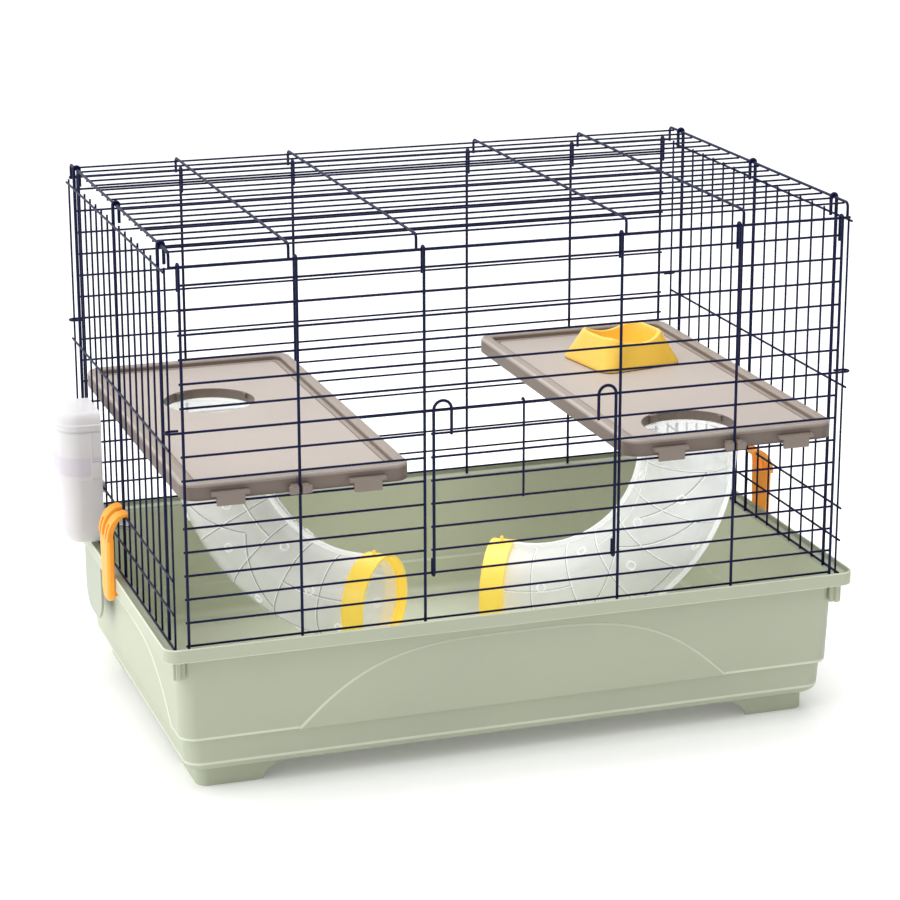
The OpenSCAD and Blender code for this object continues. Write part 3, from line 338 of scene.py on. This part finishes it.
# Each entry is how far in from the rim's edge, how high, and the corner's radius seen from above
base = base_curve(12, 18, range(90, -1, -15))
ledge = [(23.6, 60.8, 18), (23.0, 61.7, 18), (22.2, 62, 18), (20.0, 62, 18), (19.3, 62.3, 18), (19, 63.2, 18),
         (18.93, 65.2, 18)]
wall = [(15.6, 165.0, 18), (15.2, 166.1, 18), (14.4, 166.5, 18), (3.6, 166.5, 12), (2.9, 166.2, 12.2)]
skirt = [(2.6, 165.5, 12.4), (2.6, 160.4, 12.4), (2.3, 159.8, 12.7), (1.6, 159.5, 13.4), (1.0, 159.5, 14)]
rim = [(0.3, 159.8, 14.7), (0, 160.5, 15), (0, 173.9, 15), (0.3, 174.6, 14.7), (1.0, 175, 14),
       (1.7, 175, 13.3), (2.3, 174.7, 12.7), (2.6, 174.0, 12.4)]
channel = [(2.6, 170.2, 12.4), (2.9, 169.4, 12.2), (3.7, 169, 12), (16.4, 169, 17), (17.5, 168.6, 16.5)]
inside = [(18.1, 167.6, 15.6), (21.4, 66.2, 15.5), (21.8, 65.1, 15.5), (22.6, 64.5, 15.5), (25.2, 64.5, 15.5),
          (26.0, 64.1, 15.5), (26.3, 63.2, 15.5)]
inside += base_curve(9.5, 15.5, range(0, 91, 15))
profile = base + ledge + wall + skirt + rim + channel + inside

# The painted highlight lines, in the lighter green, are the faces that follow these entries; the first is the
# last part of the base's curve
highlight_after = (base[-2], ledge[4], ledge[5], skirt[4], rim[0], rim[2], rim[3])
bands = {k: PAINTED_HIGHLIGHT for k, entry in enumerate(profile) if entry in highlight_after}
bands.update({k: INNER_PAINTED_LIGHT for k in range(len(profile) - len(inside), len(profile) - 1)})
tray = Shape()
tray.loft([tray_ring(*entry) for entry in profile], bands=bands)
# The last face is the inner floor, in the brighter green of painted light
tray.kinds[-1] = INNER_PAINTED_LIGHT

# Raised arches: each is laid on its wall with a soft shoulder, whose sloping faces carry a painted highlight
LEAN = math.atan((WALL_LOW - WALL_TOP) / (CHANNEL_Z - LEDGE_Z))
ARCH_PROUD = 1.25
ARCH_FOOT = 0.3


def arch(half, height, reach, turn):
    """An arch of half its width and of its height, on the wall whose foot lies reach from the middle."""
    steps = 48
    line = []
    for k in range(steps + 1):
        c = math.cos(math.pi * k / steps)
        line.append((half * c, height * max(0.0, 1 - abs(c) ** 3.5) ** 1.1))
    shoulders = ((4.0, -0.5), (2.2, 0.15), (0.9, 0.8), (-0.4, 1.15), (-1.8, ARCH_PROUD))
    rings = []
    for grow, proud in shoulders:
        ring = []
        for k, (u, v) in enumerate(line):
            a, b = line[max(0, k - 1)], line[min(steps, k + 1)]
            tx, ty = b[0] - a[0], b[1] - a[1]
            length = math.hypot(tx, ty) or 1
            ring.append((u + grow * ty / length, max(ARCH_FOOT, v - grow * tx / length), proud))
        rings.append(ring)
    rings.append([(u, ARCH_FOOT, ARCH_PROUD) for u, _, _ in rings[-1]])

    def place(u, v, proud):
        out = reach + proud * math.cos(LEAN) + v * math.sin(LEAN)
        up = LEDGE_Z + v * math.cos(LEAN) - proud * math.sin(LEAN)
        c, s = math.cos(turn), math.sin(turn)
        return (u * c + out * s, u * s - out * c, up)

    tray.loft([[place(*p) for p in ring] for ring in rings], closed=False, bands={1: PAINTED_HIGHLIGHT, 2: PAINTED_HIGHLIGHT})


for turn in (0, math.pi):
    arch(250, 83, RIM_D / 2 - WALL_LOW, turn)
    arch(203, 66, RIM_W / 2 - WALL_LOW, turn + math.pi / 2)

# Feet: a wall round each corner, whose lower edge sweeps up at both ends
FOOT_X, FOOT_Y = 360, 226
FOOT_TOP, FOOT_R, FOOT_WALL = 23, 13, 3
# The lower edge ends a little under the wall's top
FOOT_SWEEP_TOP = 21.9


def foot_path():
    """The foot from its end on one side to its end on the other: outer point, inner point, lower edge."""
    run = []
    for a in range(90, -1, -9):
        run.append((73 + 44 * (1 - math.cos(math.radians(a))), 22 * math.sin(math.radians(a))))
    run += [(50, 0), (25, 0)]
    side = [((s, 0), (s, FOOT_WALL), z) for s, z in run]
    corner = []
    for a in range(270, 179, -15):
        x, y = polar(1, math.radians(a))
        outer, inner = ((FOOT_R + r * x, FOOT_R + r * y) for r in (FOOT_R, FOOT_R - FOOT_WALL))
        corner.append((outer, inner, 0))
    return side + corner + [(outer[::-1], inner[::-1], z) for outer, inner, z in reversed(side)]


def foot_section(outer, inner, low):
    """The wall's section; its lower edge is chamfered towards the outer face."""
    z = min(low, FOOT_SWEEP_TOP)
    chamfer = [o * 0.8 + i * 0.2 for o, i in zip(outer, inner)]
    return [(*outer, z + 0.6), (*outer, FOOT_TOP), (*inner, FOOT_TOP), (*inner, z), (*chamfer, z)]


for sx in (-1, 1):
    for sy in (-1, 1):
        sections = [foot_section(*place) for place in foot_path()]
        tray.loft([[(sx * (FOOT_X - x), sy * (FOOT_Y - y), z) for x, y, z in ring] for ring in sections])

tray.piece("tray_moulding", [GREEN, GREEN_HIGHLIGHT, GREEN_PAINTED_LIGHT], "cage", "tray")

# Grip tongues and the small ribs beside the corners
GRIP_X, GRIP_Y, GRIP_THICK = 397, 112, 3
GRIP_HALF, GRIP_TOP, GRIP_R, GRIP_R_Z = 44, 160.6, 30, 120
RIB_LOW, RIB_TOP = 136.5, 166.8
grips = Shape()
grip_outline = [(-GRIP_HALF, GRIP_TOP)]
for a in range(0, 91, 9):
    y, z = polar(GRIP_R, math.radians(a))
    grip_outline.append((GRIP_R - GRIP_HALF - y, GRIP_R_Z - z))
grip_outline += [(-y, z) for y, z in reversed(grip_outline)]
for s in (-1, 1):
    grips.prism(grip_outline, lambda y, z, w: (s * (GRIP_X + w), y + GRIP_Y, z), GRIP_THICK)
    for m in (-1, 1):
        for x, y in (((376, 389.5), (247.5, 252.5)), ((381.5, 386.5), (242, 255.5))):
            x0, x1 = sorted(s * v for v in x)
            y0, y1 = sorted(m * v for v in y)
            grips.block((x0, y0, RIB_LOW), (x1, y1, RIB_TOP), kind=1)
grips.piece("tray_grips", [GREEN_GRIP, GREEN], "cage", bevel=0.8)

# ---------------------------------------------------------------- shelves


SHELF_W, SHELF_D, DECK_Z = 250, 502.1, 345
# Places in the shelf's list of materials
PLAIN, LINE, DARK = 0, 1, 2
# The outline from the deck's underside round the edge to the deck.
# Each entry is an inset, a height, a corner radius and the material that follows.
SHELF_EDGE = (
    (11.5, 342.5, 9, PLAIN), (11.5, 348.5, 9, PLAIN), (2.5, 348.5, 15.5, PLAIN), (2.5, 332.6, 15.5, DARK),
    (2.1, 332, 16, DARK), (0.6, 332, 17.4, DARK), (0, 332.6, 18, DARK), (0, 346.8, 18, LINE),
    (0.35, 348.6, 17.7, PLAIN), (1.2, 350.0, 17, PLAIN), (2.6, 350.8, 16, LINE), (4.2, 351, 14.5, LINE),
    (10.4, 351, 10.5, LINE), (11.8, 350.8, 9.8, LINE), (12.8, 350.1, 9.3, LINE), (13.4, 348.8, 9, DARK),
    (13.6, 345.9, 9, DARK), (13.9, 345, 9, LINE), (19.2, 345, 7, DARK), (19.7, 344.5, 6.8, DARK),
    (20.7, 344.5, 6.3, LINE), (21.2, DECK_Z, 6, PLAIN))
# The hole from the deck down its collar: radius, height and the material that follows
SHELF_HOLE = (
    (52.9, DECK_Z, DARK), (52.3, 344.8, DARK), (52, 344.2, DARK), (52, 334.4, DARK), (52.3, 334, DARK),
    (54.2, 334, DARK), (54.5, 334.4, DARK), (54.5, 342.5, PLAIN))


def shelf_tray(side, cx, hole_x, hole_y):
    s = Shape()

    def edge(inset, z, r):
        return round_rect(SHELF_W - 2 * inset, SHELF_D - 2 * inset, r, z, counts=(36, 72))

    deck = edge(*SHELF_EDGE[-1][:3])

    def circle(r, z):
        """A circle round the hole with a point towards each of the deck's."""
        out = []
        for x, y, _ in deck:
            u, v = polar(r, math.atan2(y - hole_y, x - hole_x))
            out.append((hole_x + u, hole_y + v, z))
        return out

    rings = [edge(*entry[:3]) for entry in SHELF_EDGE] + [circle(r, z) for r, z, _ in SHELF_HOLE]
    bands = {k: entry[-1] for k, entry in enumerate(SHELF_EDGE + SHELF_HOLE)}
    s.loft(rings, loop=True, bands=bands)
    s.piece(side + "_shelf_tray", [TAUPE, BORDER, SHADE], side + "_shelf", side + "_shelf",
            move=turned((cx, 0), 0), crease=50)


def shelf_clips(side, cx, hole_x, hole_y):
    """The clips on the front and back crosswires, and two small dark tabs on the hole's wall."""
    c = Shape()
    for m in (-1, 1):
        # The back panel's crosswires lie higher than the front's
        rise = 4 if m > 0 else 0

        def hook(x0, x1, y0, y1, z0, z1):
            y0, y1 = sorted((m * y0, m * y1))
            c.block((x0, y0, z0 + rise), (x1, y1, z1 + rise))

        for x in (-75, 75):
            hook(x - 15.5, x + 15.5, 249.6, 258.15, 331.4, 338.4)
            hook(x - 15.4, x + 15.4, 255, 258.1, 326.4, 333)
            hook(x - 20.5, x + 20.5, 249.6, 258.4, 337.2, 341.4)
        for e in (-1, 1):
            hook(*sorted((e * 1.9, e * 9.8)), 249.8, 260, 331.4, 341.4)
            hook(*sorted((e * 2.1, e * 12.4)), 256.5, 261.2, 332.2, 340.4)
        hook(-6, 6, 249.8, 254.1, 332.0, 341)
    for degrees, r0, half, depth in ((118, 48.6, 0.12, 9), (22, 49.5, 0.06, 6)):
        outline = []
        for r, t in ((r0, -half), (52.4, -half), (52.4, half), (r0, half)):
            u, v = polar(r, math.radians(degrees) + t)
            outline.append((hole_x + u, hole_y + v))
        c.prism(outline, lambda x, y, h: (x, y, 344.6 - h), depth, kind=1)
    c.piece(side + "_shelf_clips", [CLIP_TAUPE, SHADE], side + "_shelf",
            move=turned((cx, 0), 0), bevel=0.7)


for side, cx, hole_x, hole_y in (("left", -248, -14, 82.55), ("right", 250, -25, -184.05)):
    shelf_tray(side, cx, hole_x, hole_y)
    shelf_clips(side, cx, hole_x, hole_y)

# ---------------------------------------------------------------- tubes and rings

BEND_R, BEND_TOP = 186.0, 317.2
TUBE_OUT, TUBE_IN = 51, 48.5
RIB_W, RIB_PROUD = 2.3, 1.0
# Places in a tube's list of materials: painted highlight, and painted shadow on the ribs' flanks
TUBE_HIGHLIGHT, TUBE_SHADOW = 1, 2
# A rib's section across its width and height; the faces on these two parts of it carry the rib's painted
# shadow
RIB_SECTION = ((-0.5, -0.2), (-0.42, 0.7), (-0.2, 1), (0.1, 1), (0.5, 0.6), (0.8, -0.2))
RIB_SHADOW_FACES = (3, 4)


def on_line(s):
    """Middle line of a tube at s: degrees of the bend, or mm up the neck below 0 and along the tail over 90.
    Returns the point (x', z) and the direction in the bend's plane that points out of the drop."""
    if s < 0:
        return (0.0, BEND_TOP - s), (1.0, 0.0)
    if s > 90:
        return (BEND_R + s - 90, BEND_TOP - BEND_R), (0.0, 1.0)
    a = math.radians(s)
    return (BEND_R * (1 - math.cos(a)), BEND_TOP - BEND_R * math.sin(a)), (math.cos(a), math.sin(a))


def skin(s, phi, rho):
    (x, z), (nx, nz) = on_line(s)
    u, v = rho * math.cos(phi), rho * math.sin(phi)
    return (x + nx * u, v, z + nz * u)


def off_line(s, point):
    """The direction from a tube's middle line at s to a point."""
    (x, z), _ = on_line(s)
    return (point - Vector((x, 0, z))).normalized()


def surface_rib(shape, path, sign):
    """A low rib on a tube's skin along a path of (s, angle round the tube in degrees)."""
    points = [Vector(skin(s, math.radians(phi), TUBE_OUT)) for s, phi in path]
    rings = []
    for k, (s, _) in enumerate(path):
        normal = off_line(s, points[k])
        along = (points[min(k + 1, len(points) - 1)] - points[max(k - 1, 0)]).normalized()
        across = along.cross(normal).normalized()
        rings.append([points[k] + across * RIB_W * a + normal * RIB_PROUD * b for a, b in RIB_SECTION])
    first = len(shape.kinds)
    shape.loft([[(q.x, sign * q.y, q.z) for q in ring] for ring in rings], kind=TUBE_HIGHLIGHT)
    # One flank of each rib is darker, a painted shadow; the last two faces are the rib's ends
    for k in range(first, len(shape.kinds) - 2):
        if (k - first) % len(RIB_SECTION) in RIB_SHADOW_FACES:
            shape.kinds[k] = TUBE_SHADOW


def boss(shape, s, phi, sign):
    """A small round boss with a hollow middle on a tube's skin."""
    parts = 20
    base = Vector(skin(s, math.radians(phi), TUBE_OUT))
    normal = off_line(s, base)
    one = normal.orthogonal().normalized()
    two = normal.cross(one)
    section = ((5.8, -0.6), (5.8, 0.9), (5.4, 1.3), (4.3, 1.3), (3.9, 0.8), (3.9, -0.6))
    rings = []
    for k in range(parts):
        d = one * math.cos(math.tau * k / parts) + two * math.sin(math.tau * k / parts)
        rings.append([base + d * radius + normal * height for radius, height in section])
    shape.loft([[(q.x, sign * q.y, q.z) for q in ring] for ring in rings], loop=True, kind=TUBE_HIGHLIGHT)


def tube_half(side, half, at, turn, sign):
    """sign is 1 for the half on the y' > 0 side."""
    s = Shape()
    flanged = [-14, -7, *range(0, 91, 3), 97, 104]
    arc = [math.radians(a) for a in range(0, 181, 6)]
    # The shell runs on past the flanges, into the end ring
    rings = []
    for st in flanged + [110, 121]:
        rings.append([skin(st, a, TUBE_OUT) for a in arc] + [skin(st, a, TUBE_IN) for a in reversed(arc)])
    s.loft([[(x, sign * y, z) for x, y, z in ring] for ring in rings])
    # Flanges along both seams, with a rounded outer lip
    section = ((50, 0.02), (55.3, 0.02), (56, 0.5), (56, 1.6), (55.4, 2.2), (54.2, 2.2), (53.6, 1.7),
               (50.6, 1.7))
    for e in (1, -1):
        rings = []
        for st in flanged:
            (cx, cz), (nx, nz) = on_line(st)
            rings.append([(cx + nx * e * u, sign * v, cz + nz * e * u) for u, v in section])
        s.loft(rings, kind=TUBE_HIGHLIGHT)
    # Socket round the shelf's collar, as radius and height
    section = ((48.5, 331.2), (56.9, 331.2), (57.5, 331.8), (57.5, 341.7), (57.1, 342.2), (55.2, 342.2),
               (54.8, 341.8), (54.8, 333.7), (48.5, 333.7))
    s.loft([[(r * math.cos(a), sign * r * math.sin(a), z) for r, z in section] for a in arc], kind=TUBE_HIGHLIGHT)
    # Hoops round the tube, crossing ribs that climb or run along it, and bosses
    for st in (4, 20, 36, 52, 68, 84):
        surface_rib(s, [(st, phi) for phi in range(5, 176, 10)], sign)
    span = 8
    for s0, s1, phi0, phi1 in ((4, 28, 128, 60), (20, 44, 128, 60), (44, 68, 60, 120), (4, 52, 40, 40),
                               (36, 84, 140, 140), (68, 104, 75, 75)):
        path = [(s0 + (s1 - s0) * k / span, phi0 + (phi1 - phi0) * k / span) for k in range(span + 1)]
        surface_rib(s, path, sign)
    for st, phi in ((12, 32), (14, 100), (28, 148), (30, 60), (44, 90), (60, 35), (62, 122), (76, 150),
                    (80, 70), (97, 112)):
        boss(s, st, phi, sign)
    s.piece("{}_tube_{}_shell".format(side, half), [CLEAR, CLEAR_HIGHLIGHT, CLEAR_SHADOW], side + "_tube",
            "{}_tube_{}_half".format(side, half), crease=50, move=turned(at, turn))


def end_ring(side, at, turn):
    s = Shape()
    # Places along the tube's tail, and radii
    section = ((201, 51.6), (201.3, 51.3), (217.4, 51.3), (217.4, 48.9), (217.8, 48.5), (219.2, 48.5),
               (219.6, 48.9), (219.9, 52.6), (227.6, 53.0), (228, 53.4), (228, 56.1), (227.6, 56.5),
               (225.6, 56.5), (225.1, 56.1), (204.0, 56.1), (203.5, 56.5), (201.4, 56.5), (201, 56.1))
    middle_z = BEND_TOP - BEND_R
    parts = 72
    rings = []
    for k in range(parts):
        a = math.tau * k / parts
        rings.append([(x, r * math.sin(a), middle_z + r * math.cos(a)) for x, r in section])
    s.loft(rings, loop=True)
    # Lug on top: a small tapered post on a low pad
    lug_x, lug_parts = 214.5, 20
    turns = [math.tau * j / lug_parts for j in range(lug_parts)]
    for rx, ry, low, high, slope in ((6.5, 5.5, 55.6, 57.4, 0.9), (2.9, 2.9, 57, 62.4, 0.62)):
        rows = []
        for z, k in ((low, 1), (high - 0.7, slope + 0.06), (high, slope - 0.12)):
            rows.append([(lug_x + rx * k * math.cos(a), ry * k * math.sin(a), middle_z + z) for a in turns])
        s.loft(rows)
    s.piece(side + "_end_ring", [YELLOW], side + "_ring", side + "_tube_ring", crease=50,
            move=turned(at, turn))


for side, at, degrees in (("left", (-262, 82.55), -45), ("right", (225, -184.05), 147)):
    turn = math.radians(degrees)
    front = -1 if side == "left" else 1
    tube_half(side, "front", at, turn, front)
    tube_half(side, "back", at, turn, -front)
    end_ring(side, at, turn)

# ---------------------------------------------------------------- bowl

BOWL_W, BOWL_D, BOWL_H = 112, 106, 38
# Each side of the rim dips in the middle by DIP, as an arc of radius DIP_R
DIP, DIP_R = 9, 60


def bowl_ring(inset, r, height):
    """height(z of the rim at that place) gives the ring's height."""
    out = []
    for x, y, _ in round_rect(BOWL_W - 2 * inset, BOWL_D - 2 * inset, r, 0, counts=(20, 20)):
        u = min(abs(x), DIP_R - 1)
        rim_z = BOWL_H - max(0.0, DIP - (DIP_R - math.sqrt(DIP_R ** 2 - u ** 2)))
        out.append((x, y, height(rim_z)))
    return out


# From under the foot up the flared outside, over the rim and down into the dish
rows = [(4, 15, lambda z: 0), (2.2, 16, lambda z: 0), (0.7, 17, lambda z: 0.7), (0, 17.5, lambda z: 2.4),
        (0.8, 18, lambda z: 5)]
rows += [(0.8 + 11.2 * k / 6, 18 + 8 * k / 6, lambda z, k=k: 5 + (z - 8) * k / 6) for k in range(1, 7)]
rows += [(12.6, 26, lambda z: z - 1.5), (13.6, 25.4, lambda z: z - 0.5), (15, 24.6, lambda z: z),
         (16.2, 23.8, lambda z: z - 0.1), (17.2, 23, lambda z: z - 0.7), (17.8, 22.4, lambda z: z - 2)]
rows += [(18 + k, 22, lambda z, k=k: z - 2 - (z - 16) * k / 3) for k in range(1, 4)]
rows += [(22.5, 20, lambda z: 11), (25, 18, lambda z: 8.4), (28, 15, lambda z: 7.3), (31, 12, lambda z: 7)]
bowl = Shape()
bowl.loft([bowl_ring(*row) for row in rows])
bowl.piece("bowl_moulding", [BOWL], "bowl", "bowl", crease=60,
           move=turned((258, 98.05), math.radians(10), 345.3))

# ---------------------------------------------------------------- drinker, with +x' away from the cage


DRINKER_X, DRINKER_Y = -387.65, 131.4
DRINKER_DEEP, DRINKER_HALF, DRINKER_R = 45, 37, 21
DRINKER_LOW, DRINKER_IN_LOW, DRINKER_IN_R = 178, 180, 19
LID_Z, LID_RISE = 325.6, 13.2


def at_drinker(p):
    return (DRINKER_X - p[0], DRINKER_Y + p[1], p[2])


def drinker_ring(grow, z, r=None, back=0.0):
    """The drinker's outline, flat at the back; grow moves its sides and front out."""
    r = max(DRINKER_R + grow if r is None else r, 0.6)
    side = DRINKER_HALF + grow
    x, y = DRINKER_DEEP + grow - r, side - r
    out = [(back, -side, z), (back + 8, -side, z)]
    for middle, start in ((-y, -90), (y, 0)):
        for a in range(start, start + 91, 10):
            u, v = polar(r, math.radians(a))
            out.append((x + u, middle + v, z))
    return out + [(back + 8, side, z), (back, side, z)]


# From the rounded bottom up the outside, past the mauve band, over the mouth and down inside
rings = []
for b in (6, 20, 35, 50, 65, 80, 90):
    u, v = polar(DRINKER_R, math.radians(b))
    rings.append(drinker_ring(v - DRINKER_R, DRINKER_LOW + DRINKER_R - u))
rings += [drinker_ring(g, z) for g, z in ((0, 230), (0, 258), (0.2, 259.5), (1.0, 260.2), (1.2, 261))]
band = len(rings)
rings += [drinker_ring(g, z) for g, z in (
    (1.2, 264), (1.2, 286), (1.2, 314), (0.9, 315.5), (0, 316.5), (0, 323.4), (-0.6, 324), (-1.6, 324),
    (-2, 323.4))]
rings += [drinker_ring(-2, z, back=2) for z in (300, 240, 199)]
for b in (65, 40, 20):
    u, v = polar(DRINKER_IN_R, math.radians(b))
    rings.append(drinker_ring(v - DRINKER_R, DRINKER_IN_LOW + DRINKER_IN_R - u, back=2))
bottle = Shape()
bottle.loft(rings, bands={band: 1})
# Two hooks over the rail
for y in (107.625 - DRINKER_Y, 138.375 - DRINKER_Y):
    bottle.block((-4.0, y - 8, 248.4), (3, y + 8, 252.4))
    bottle.block((-4.0, y - 8, 240.4), (-1.8, y + 8, 249))
# A small bracket and a seam on the side that faces the door
bottle.block((1.5, -39.4, 262), (11.5, -37.4, 280))
bottle.block((11.4, -39.0, 258), (12.4, -37.6, 316))
bottle.piece("drinker_body", [FROSTED, BAND], "drinker", "drinker_bottle",
             move=at_drinker, crease=55)

# The lid's skirt from its underside, then its dome
rings = [drinker_ring(g, z) for g, z in (
    (0.3, 324), (0.3, 318.4), (0.7, 318), (1.9, 318), (2.3, 318.4), (2.3, 322.6), (2.9, 323.2), (3.4, 323.8),
    (3.4, 324.8), (2.9, 325.3), (2.0, LID_Z))]
for b in range(8, 91, 10):
    f = math.radians(b)
    rings.append(drinker_ring(-8 + 9.6 * math.cos(f), LID_Z + LID_RISE * math.sin(f), 15 + 8 * math.cos(f)))
rings += [drinker_ring(-14, 339.1, 11), drinker_ring(-20, 339.25, 8)]
lid = Shape()
lid.loft(rings, cap=(False, True))
lid.piece("drinker_cap", [FROSTED], "drinker_lid", "drinker_lid",
          move=at_drinker, crease=55)

# ---------------------------------------------------------------- side clips, drawn for the right side

RAIL_X, RAIL_Z, CLIP_IN, CLIP_OUT, BEND_Z = 386.25, 247.0, 400.6, 408.6, 221.0
HOOK_OUT_R, HOOK_IN_R, HOOK_TURN = 4.6, 1.4, 112
FINGER_THICK = 6.5


def finger_outline(from_z):
    """Profile of a finger in x and z, over the rail; from_z leaves out what lies below it."""
    pts = []

    def shoulder(reach, hook_r, steps):
        """A quarter of an ellipse from the body to the top of the rail, or from where from_z cuts it."""
        rise = RAIL_Z + hook_r - BEND_Z
        start = math.degrees(math.asin(min(1, max(0, (from_z - BEND_Z) / rise))))
        for k in steps:
            a = math.radians(start + (90 - start) * k / 12)
            pts.append((RAIL_X + (reach - RAIL_X) * math.cos(a), BEND_Z + rise * math.sin(a)))

    def hook(radius, steps):
        for k in steps:
            x, z = polar(radius, math.radians(90 + HOOK_TURN * k / 8))
            pts.append((RAIL_X + x, RAIL_Z + z))

    shoulder(CLIP_OUT, HOOK_OUT_R, range(13))
    hook(HOOK_OUT_R, range(1, 9))
    hook(HOOK_IN_R, range(8, -1, -1))
    shoulder(CLIP_OUT - FINGER_THICK, HOOK_IN_R, range(11, -1, -1))
    return pts


def side_clip(side, m):
    s = Shape()
    # Two hooks, each with two fingers and a bridge between them over the rail
    for mid in (-14.5, 14.5):
        for y0, y1, z in ((mid - 9, mid - 3, 0), (mid + 3, mid + 9, 0), (mid - 3.05, mid + 3.05, 239)):
            s.prism(finger_outline(z), lambda x, z, w: (x, y0 + w, z), y1 - y0)
    # Body: a tongue with a broad bevel on its outer face
    outline = [(21, 222.5), (20.6, 205), (19.6, 188), (18.2, 172), (17.2, 160)]
    for a in range(8, 91, 10):
        outline.append((17 * math.cos(math.radians(a)), 158 - 13.8 * math.sin(math.radians(a))))
    outline += [(-y, z) for y, z in reversed(outline)]

    def shrunk(g):
        return [(y * (1 - g / 21), 184 + (z - 184) * (1 - g / 40)) for y, z in outline]

    rings = [[(x, y, z) for y, z in shrunk(g)] for g, x in (
        (0.8, CLIP_IN), (0, CLIP_IN + 0.8), (0, CLIP_OUT - 3.4), (0.6, CLIP_OUT - 2.4), (2.8, CLIP_OUT - 0.5),
        (3.8, CLIP_OUT - 0.1), (5, CLIP_OUT))]
    s.loft(rings)
    # Catch under the rim's skirt
    s.block((396.4, -11.8, 151.8), (401.5, 11.8, 158.6))
    s.piece(side + "_side_clip", [ORANGE], side + "_clip", side + "_clip",
            move=lambda p: (m * p[0], p[1], p[2]), crease=40)


side_clip("left", -1)
side_clip("right", 1)

# ---------------------------------------------------------------- stage

FLOOR = 30
mesh = bpy.data.meshes.new("floor")
mesh.from_pydata([(-FLOOR, -FLOOR, 0), (FLOOR, -FLOOR, 0), (FLOOR, FLOOR, 0), (-FLOOR, FLOOR, 0)], [],
                 [(0, 1, 2, 3)])
floor = new_object("floor", mesh)
floor_mat, _, _, bsdf = new_material("floor_white")
bsdf.inputs["Base Color"].default_value = (0.95, 0.95, 0.95, 1)
bsdf.inputs["Roughness"].default_value = 0.7
bsdf.inputs["Specular IOR Level"].default_value = 0.1
bsdf.inputs["Emission Color"].default_value = (1, 1, 1, 1)
bsdf.inputs["Emission Strength"].default_value = 0.12
floor.data.materials.append(floor_mat)

world = bpy.data.worlds.new("studio")
bpy.context.scene.world = world
bpy.context.scene.view_settings.view_transform = "Standard"
world.use_nodes = True
world.node_tree.nodes["Background"].inputs["Color"].default_value = (1, 1, 1, 1)
# A soft studio: bright above and to the left, dimmer towards the front right
nodes, links = world.node_tree.nodes, world.node_tree.links
coords = nodes.new("ShaderNodeTexCoord")
dot = nodes.new("ShaderNodeVectorMath")
dot.operation = "DOT_PRODUCT"
dot.inputs[1].default_value = (-0.75, 0.45, 1.1)
glow = nodes.new("ShaderNodeMapRange")
glow.inputs["From Min"].default_value = -0.3
glow.inputs["From Max"].default_value = 1.2
glow.inputs["To Min"].default_value = 0.05
glow.inputs["To Max"].default_value = 1.55
links.new(coords.outputs["Generated"], dot.inputs[0])
links.new(dot.outputs["Value"], glow.inputs["Value"])
links.new(glow.outputs["Result"], nodes["Background"].inputs["Strength"])


def area(name, place, target, size, power):
    data = bpy.data.lights.new(name, "AREA")
    data.shape = "RECTANGLE"
    data.size, data.size_y = size
    data.energy = power
    o = new_object(name, data)
    o.location = place
    o.rotation_euler = (Vector(target) - Vector(place)).to_track_quat("-Z", "Y").to_euler()


area("key", (-2.6, -0.6, 1.9), (0, 0, 0.25), (1.6, 1.6), 9)
area("top", (0.2, 0.2, 2.6), (0, 0, 0.3), (2.2, 2.2), 36)

# ---------------------------------------------------------------- camera

# The photograph's width and its focal length, both in pixels, and where the camera stands and looks
PHOTO_W, FOCAL = 900, 2825.0706
CAMERA_AT = (-1.002079 + SHIFT * MM, -2.993270, 1.221913)
data = bpy.data.cameras.new("camera")
data.sensor_width = 36
data.lens = FOCAL / PHOTO_W * data.sensor_width
data.clip_end = 100
forward = Vector((0.30549344, 0.90849589, -0.28514728)).normalized()
right = Vector((0.9476887, -0.31919177, -0.00165434))
right = (right - forward * right.dot(forward)).normalized()
up = right.cross(forward)
turn = Matrix((right, up, -forward)).transposed().to_4x4()
camera = new_object("camera", data)
camera.matrix_world = Matrix.Translation(CAMERA_AT) @ turn
bpy.context.scene.camera = camera

bpy.context.view_layer.update()
